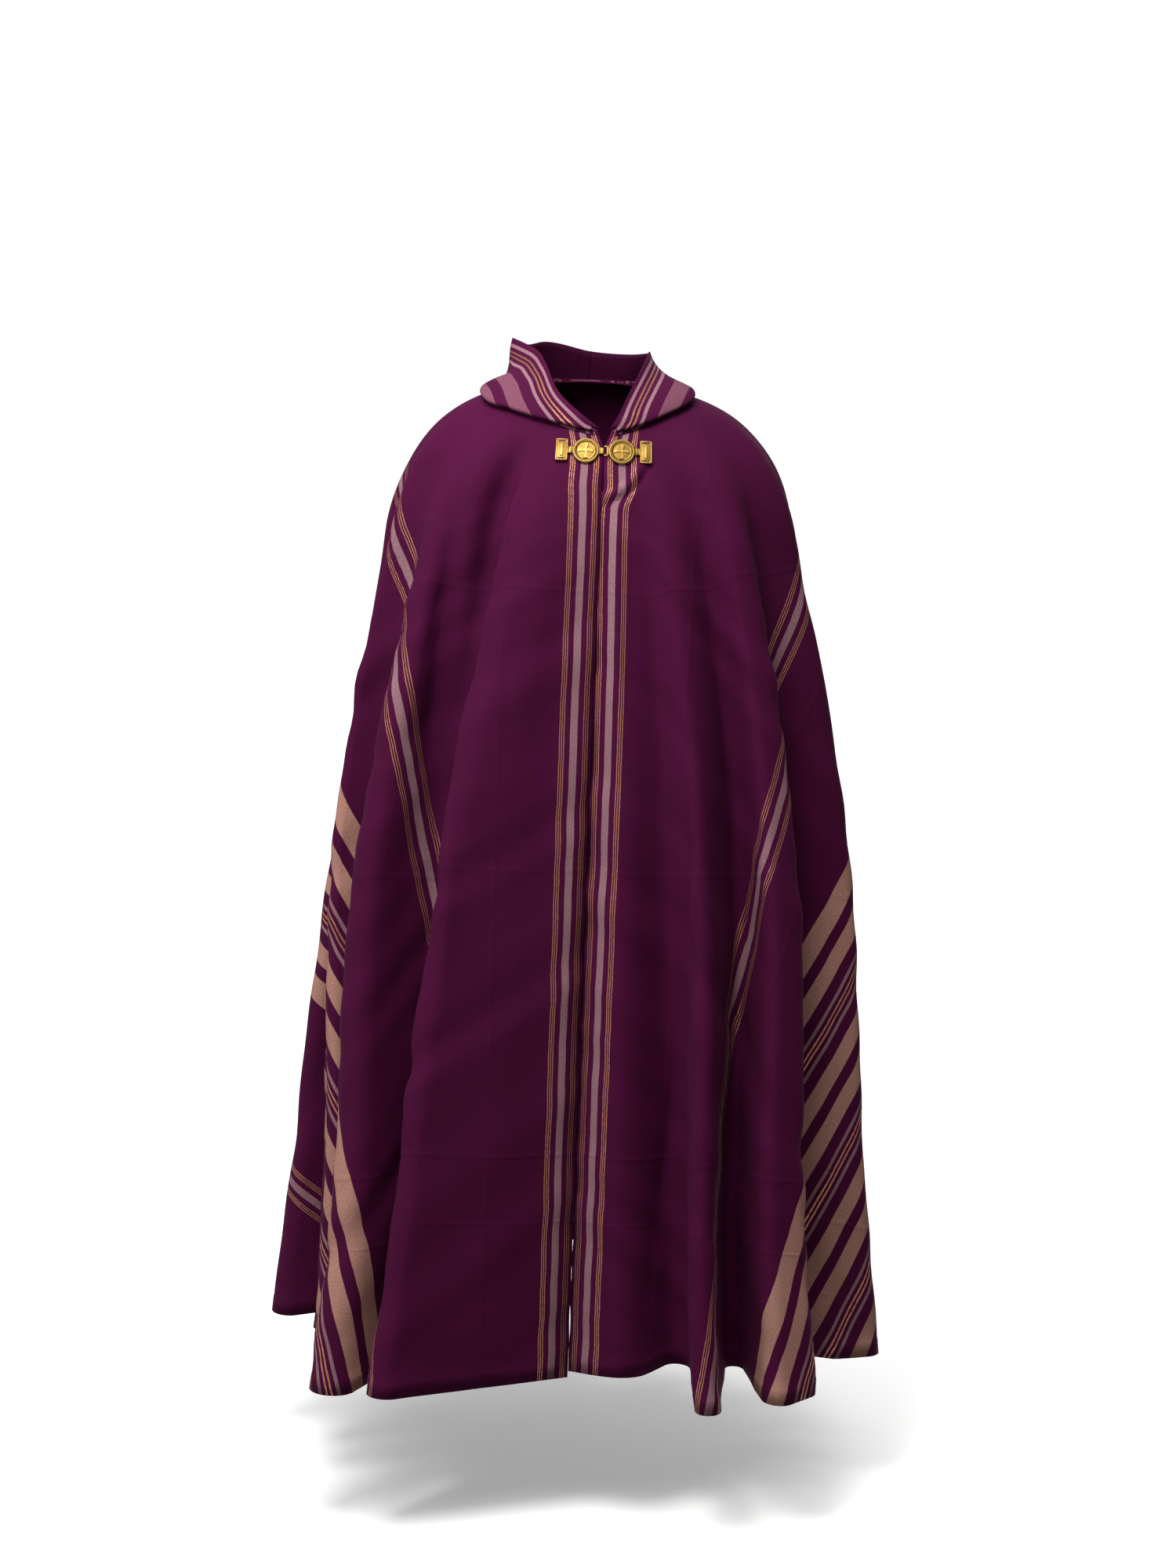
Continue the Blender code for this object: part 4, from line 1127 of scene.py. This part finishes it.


def colour(hex_code):
    """An sRGB hex value as linear red, green, blue and alpha."""
    channels = [int(hex_code[k : k + 2], 16) / 255 for k in (1, 3, 5)]
    linear = [c / 12.92 if c <= 0.04045 else ((c + 0.055) / 1.055) ** 2.4 for c in channels]
    return (*linear, 1.0)


def new_look(name):
    """A material with its node tree and its shader."""
    look = bpy.data.materials.new(name)
    look.use_nodes = True
    return look, look.node_tree, look.node_tree.nodes["Principled BSDF"]


def away_from(tree, place, middle):
    """How far a place lies from a middle, on either side."""
    off = add_node(tree, MATH, (place, middle), operation="SUBTRACT")
    return add_node(tree, MATH, (off,), operation="ABSOLUTE")


def bands(tree, rows):
    """1 inside any of some bands and 0 outside: rows of place, middle and half width."""
    total = 0.0
    for row in rows:
        band = add_node(tree, MATH, row, operation="COMPARE")
        total = add_node(tree, MATH, (total, band), operation="ADD")
    return total


def stripe_masks(tree, s):
    """Where the tan, mauve and gold yarns lie, each 1 or 0, from the place across the cloth."""
    d = away_from(tree, s, CLOTH_MIDDLE)
    thin = add_node(tree, MATH, (d, away_from(tree, d, THIN_GROUP)), operation="MINIMUM")
    wide = [away_from(tree, d, middle) for middle in WIDE_GROUPS]
    wide = add_node(tree, MATH, wide, operation="MINIMUM")
    step = add_node(tree, MATH, (wide, WIDE_GOLD[0] - 1.5 * GOLD_PITCH), operation="SUBTRACT")
    step = add_node(tree, MATH, (step, GOLD_PITCH), operation="MODULO")
    lines = bands(tree, [(step, GOLD_PITCH / 2, GOLD_HALF_LINE)])
    stripe = bands(tree, [(wide, *WIDE_GOLD)])
    triple = add_node(tree, MATH, (stripe, lines), operation="MULTIPLY")
    single = bands(tree, [(thin, *THIN_GOLD)])
    gold = add_node(tree, MATH, (single, triple), operation="ADD")
    tan = bands(tree, [(d, *band) for band in TAN_BANDS])
    mauve = bands(tree, [(thin, *THIN_MAUVE), (wide, *WIDE_MAUVE)])
    return tan, mauve, gold


def uneven_yarn(tree, flat, waves, detail):
    """Noise over the flat cloth with so many waves for each metre each way."""
    lie = add_node(tree, "ShaderNodeMapping", {"Vector": flat, "Scale": waves})
    return add_node(tree, NOISE, (lie, 1.0, detail))


def weave_height(tree, flat):
    """Height of the cloth's face in metres: yarns, slubs and faint storage creases."""
    s, t = add_node(tree, "ShaderNodeSeparateXYZ", (flat,)).outputs[:2]
    waves = []
    for place in (s, t):
        wave = add_node(tree, MATH, (place, 2 * math.pi / YARN_PITCH), operation="MULTIPLY")
        waves.append(add_node(tree, MATH, (wave,), operation="SINE"))
    yarns = add_node(tree, MATH, waves, operation="MULTIPLY")
    height = add_node(tree, MATH, (yarns, YARN_HEIGHT / 2), operation="MULTIPLY")
    for stretch in SLUBS:
        slub = uneven_yarn(tree, flat, stretch, 1.0)
        height = add_node(tree, MATH, (slub, SLUB_HEIGHT / 2, height), operation="MULTIPLY_ADD")
    along = add_node(tree, MATH, (t,), operation="ABSOLUTE")
    for place, creases in ((along, CREASES_ACROSS), (s, CREASES_ALONG)):
        for at, half, rise in creases:
            ridge = add_node(tree, RANGE, (away_from(tree, place, at), 0.0, half, rise, 0.0),
                             interpolation_type="SMOOTHSTEP")
            height = add_node(tree, MATH, (height, ridge), operation="ADD")
    return height


def wool_weave(tree, shader):
    """What striped and plain wool share: its flat place, the fleck of its yarns and their shade.
    It is light worsted wool, plain woven and softly pressed, so it is matt and faintly ribbed."""
    flat = add_node(tree, "ShaderNodeUVMap", uv_map="flat_cloth")
    bump = add_node(tree, "ShaderNodeBump",
                    {"Height": weave_height(tree, flat), "Distance": 1.0, "Strength": 0.9})
    feed(shader, {"Normal": bump, "Specular IOR Level": 0.07})
    fleck = uneven_yarn(tree, flat, FLECKS, 2.0)
    return flat, fleck, add_node(tree, RANGE, (fleck, 0.3, 0.7, 0.88, 1.12))


def striped_wool(name, tan_colour, gold_colour):
    """Worsted wool with a faint bloom of fibre ends. The tan bands are tan warp crossed by purple
    weft, so they look flecked. The thin gold lines are a metal-wrapped yarn; its glints are partly
    painted, as spots where more gold colour shows, and those spots are also more metal."""
    look, tree, shader = new_look(name)
    flat, fleck, grain = wool_weave(tree, shader)
    s = add_node(tree, "ShaderNodeSeparateXYZ", (flat,))
    drift = add_node(tree, MATH, (add_node(tree, NOISE, (flat, 60.0, 1.0)), 0.5),
                     operation="SUBTRACT")
    wandering = add_node(tree, MATH, (drift, 2 * STRIPE_WANDER, s), operation="MULTIPLY_ADD")
    tan, mauve, gold = stripe_masks(tree, wandering)
    flecks = add_node(tree, RANGE, (fleck, 0.38, 0.68, 1.0, 0.66))
    glints = add_node(tree, RANGE, (uneven_yarn(tree, flat, GLINTS, 1.0), 0.35, 0.60, 0.62, 1.0))
    cloud = add_node(tree, NOISE, (flat, 9.0, 3.0))
    shade = add_node(tree, RANGE, (cloud, 0.3, 0.7, 0.94, 1.06))
    worn = add_node(tree, MATH, (shade, grain), operation="MULTIPLY")
    mix = add_node(tree, VECTOR, (colour(PURPLE_DYE)[:3], worn), operation="SCALE")
    for mask, weft_gaps_and_glints, yarn in ((tan, flecks, tan_colour), (mauve, flecks, MAUVE_YARN),
                             (gold, glints, gold_colour)):
        shown = add_node(tree, MATH, (mask, weft_gaps_and_glints), operation="MULTIPLY")
        mix = add_node(tree, BLEND, (shown, mix, colour(yarn)), data_type="RGBA")
    # the last yarn shown is the gold, which is part metal and smoother
    metal = add_node(tree, MATH, (shown, GOLD_METAL), operation="MULTIPLY")
    rough = add_node(tree, MATH, (shown, GOLD_ROUGHNESS - WOOL_ROUGHNESS, WOOL_ROUGHNESS),
                     operation="MULTIPLY_ADD")
    feed(shader, {"Base Color": mix, "Metallic": metal, "Roughness": rough, "Sheen Weight": 0.025,
                  "Sheen Roughness": 0.45, "Sheen Tint": colour("#B06A90")})
    return look


def plain_wool(name, hex_code):
    """The same worsted wool without its stripes, which faces the inside of the hood."""
    look, tree, shader = new_look(name)
    grain = wool_weave(tree, shader)[2]
    dyed = add_node(tree, VECTOR, (colour(hex_code)[:3], grain), operation="SCALE")
    feed(shader, {"Base Color": dyed, "Roughness": WOOL_ROUGHNESS})
    return look


def gilt_brass(name):
    """Cast brass, gilded and tumbled: a warm yellow mirror, softened by fine dimples and wear.
    Its hollows are darkened towards brown, which is painted shade."""
    look, tree, shader = new_look(name)
    place = add_node(tree, "ShaderNodeTexCoord").outputs["Object"]
    patina = add_node(tree, NOISE, (place, 260.0, 3.0))
    tone = add_node(tree, BLEND, (patina, colour("#735C2B"), colour("#8B733C")), data_type="RGBA")
    # painted shade: the marked hollows are darkened towards brown
    painted_hollow_shade = add_node(tree, "ShaderNodeAttribute", attribute_name="painted_hollow_shade").outputs["Fac"]
    shade = add_node(tree, MATH, (painted_hollow_shade, HOLLOW_SHADE), operation="MULTIPLY")
    shaded_gilt = add_node(tree, BLEND, (shade, tone, colour("#5F421C")), data_type="RGBA")
    rough = add_node(tree, RANGE, (patina, 0.3, 0.7, 0.36, 0.50))
    dimples = add_node(tree, NOISE, (place, 1400.0, 2.0))
    height = add_node(tree, MATH, (dimples, GILT_DIMPLE), operation="MULTIPLY")
    bump = add_node(tree, "ShaderNodeBump", {"Height": height, "Distance": 1.0, "Strength": 0.8})
    feed(shader, {"Base Color": shaded_gilt, "Metallic": 1.0, "Roughness": rough, "Normal": bump})
    return look


def sewing_thread(name, hex_code):
    """Spun polyester thread: a little shinier than the wool, with a fine twist."""
    look, tree, shader = new_look(name)
    place = add_node(tree, "ShaderNodeTexCoord").outputs["Object"]
    tone = add_node(tree, RANGE, (add_node(tree, NOISE, (place, 2200.0, 1.0)), 0.0, 1.0, 0.8, 1.25))
    dyed = add_node(tree, VECTOR, (colour(hex_code)[:3], tone), operation="SCALE")
    feed(shader, {"Base Color": dyed, "Roughness": 0.55, "Sheen Weight": 0.1})
    return look


def studio_floor(name):
    """Matt painted board, pale with a barely uneven coat. It glows faintly, which is painted light
    that lightens the shadow on it."""
    look, tree, shader = new_look(name)
    place = add_node(tree, "ShaderNodeTexCoord").outputs["Object"]
    coat = add_node(tree, NOISE, (place, 0.8, 2.0))
    tone = add_node(tree, BLEND, (coat, colour("#FAFAF9"), colour("#FDFDFC")), data_type="RGBA")
    # painted light: a faint white glow that lifts the shadow on the floor
    feed(shader, {"Base Color": tone, "Roughness": 0.8, "Specular IOR Level": 0.2,
                  "Emission Color": colour("#FFFFFF"), "Emission Strength": 0.22})
    return look


# ---------------------------------------------------------------- studio
FLOOR_Z = -1.52              # the wearer's soles
FLOOR_REACH = 30.0
CAMERA_PLACE = (0.0132, -3.50, -0.16)
CAMERA_PITCH = math.radians(5.9)  # looking down a little
CAMERA_ROLL = math.radians(2.0)
CAMERA_LENS = 55.62
# Broad, far lamps: name, where it shines from, spread in degrees, strength
FAR_LAMPS = (
    ("ceiling_lamp", (-0.08, -0.15, 1.0), 55.0, 2.0),
    ("front_lamp", (-0.10, -1.0, 0.35), 35.0, 0.25),
    ("side_lamp", (-1.0, -0.35, -0.10), 60.0, 2.40),
    ("back_lamp", (0.3, 1.0, 0.6), 60.0, 0.8),
)
SOFTBOX_PLACE = (-0.42, -1.12, 1.20)  # above and in front, a little to the wearer's right
SOFTBOX_GOAL = (0.0, -0.1, -0.35)
SOFTBOX_WIDTH = 0.9
SOFTBOX_WATTS = 44.0
AIR_LIGHT = 0.11             # what the white walls give back
AIR_SEEN = 1.00              # and how bright they look


def build_air():
    """White walls all round: they light the cloth softly and look white themselves."""
    world = bpy.data.worlds.new("studio_air")
    world.use_nodes = True
    tree = world.node_tree
    seen = add_node(tree, "ShaderNodeLightPath").outputs["Is Camera Ray"]
    strength = add_node(tree, RANGE, (seen, 0.0, 1.0, AIR_LIGHT, AIR_SEEN))
    feed(tree.nodes["Background"], {"Color": colour("#FFFFFF"), "Strength": strength})
    bpy.context.scene.world = world


def build_floor():
    """A level floor that doesn't light the cloth from below."""
    mesh = bpy.data.meshes.new("studio_floor")
    corners = ((-1, -1), (1, -1), (1, 1), (-1, 1))
    corners = [(x * FLOOR_REACH, y * FLOOR_REACH, FLOOR_Z) for x, y in corners]
    mesh.from_pydata(corners, [], [(0, 1, 2, 3)])
    floor = add_object("studio_floor", mesh, [studio_floor("matt_floor_paint")])
    floor.visible_diffuse = False


def add_lamp(name, kind, strength, place, away):
    """A lamp at a place; away points from what it lights towards it."""
    lamp = bpy.data.lights.new(name, kind)
    lamp.energy = strength
    light = in_scene(name, lamp)
    light.location = place
    light.rotation_euler = Vector(away).to_track_quat("Z", "Y").to_euler()
    return lamp


def build_studio():
    """Floor, lamps, walls and camera. Standard colours keep the whites of the hex values."""
    build_floor()
    for name, away, spread, strength in FAR_LAMPS:
        add_lamp(name, "SUN", strength, (0, 0, 0), away).angle = math.radians(spread)
    away = Vector(SOFTBOX_PLACE) - Vector(SOFTBOX_GOAL)
    softbox = add_lamp("softbox", "AREA", SOFTBOX_WATTS, SOFTBOX_PLACE, away)
    softbox.shape = "DISK"
    softbox.size = SOFTBOX_WIDTH
    build_air()
    lens = bpy.data.cameras.new("camera")
    lens.lens = CAMERA_LENS
    lens.sensor_width = 36.0
    camera = in_scene("camera", lens)
    turn = Matrix.Rotation(math.pi / 2 - CAMERA_PITCH, 4, "X")
    turn = turn @ Matrix.Rotation(CAMERA_ROLL, 4, "Z")
    camera.matrix_world = Matrix.Translation(CAMERA_PLACE) @ turn
    bpy.context.scene.camera = camera
    bpy.context.scene.view_settings.view_transform = "Standard"


# ---------------------------------------------------------------- dress the frame
def dress(piece, node):
    """A finished piece rides on the cope and stands for its solid."""
    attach(piece, "root")
    if node is not None:
        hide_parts(node)


def dress_cloth(thread):
    """Cape, hood and neckband, each with its stitches."""
    wool = striped_wool("worsted_wool", "#A87C6D", "#9E6B53")
    # the hood and neckband take a darker copy of the same wool: its darker tan and gold are painted
    # shade
    shaded_hood_wool = striped_wool("worsted_wool_hood_shaded", "#6E4252", "#8E6349")
    lining = plain_wool("worsted_wool_lining", "#3A0728")
    tree = stitch_tree(thread)

    cape, hem_line = build_cape(wool)
    dress(cape, "cape")
    hood_halves = build_hood(shaded_hood_wool, lining)
    band, band_line = build_neckband(shaded_hood_wool)
    dress(band, "neckband")

    stitches = sew("hem_stitches", hem_line, tree, thread, Spacing=0.0052)
    dress(stitches, None)

    stitches = sew("neckband_stitches", band_line, tree, thread, Spacing=0.0032, Length=0.0022)
    dress(stitches, None)

    for side_name, half, edge in hood_halves:
        dress(half, "hood_" + side_name)
        stitches = sew(f"hood_{side_name}_stitches", edge, tree, thread, Spacing=0.0038,
                       Length=0.0026)
        dress(stitches, None)


def dress_clasp(thread):
    """The clasp's eight pieces, and the thread that holds its plates."""
    gilt = gilt_brass("gilt_brass")
    medallions = []
    for side_name, side in (("right", -1), ("left", 1)):
        at_medallion = place_on_front(MEDALLION_AT, side, MEDALLION_LIFT)
        at_plate = place_on_front(PLATE_AT, side, PLATE_LIFT)
        medallions.append((at_medallion, MEDALLION_RADIUS))
        pair = [medallions[-1], (at_plate, PLATE_SIZE[0] / 2)]
        at_link, length = between(*pair[::side])  # always from the wearer's right to the left
        dress(build_medallion(side_name, at_medallion, gilt), "medallion_" + side_name)
        dress(build_plate(side_name, at_plate, gilt), "plate_" + side_name)
        dress(build_plate_thread(side_name, at_plate, thread), None)
        dress(build_link(side_name, at_link, length, gilt), "link_" + side_name)
    at_catch, length = between(*medallions)
    dress(build_eye(at_catch, length / 2, gilt), "eye")
    dress(build_hook(at_catch, length / 2, gilt), "hook")


purple_thread = sewing_thread("purple_polyester_thread", "#4E1442")
dress_cloth(purple_thread)
dress_clasp(purple_thread)
build_studio()
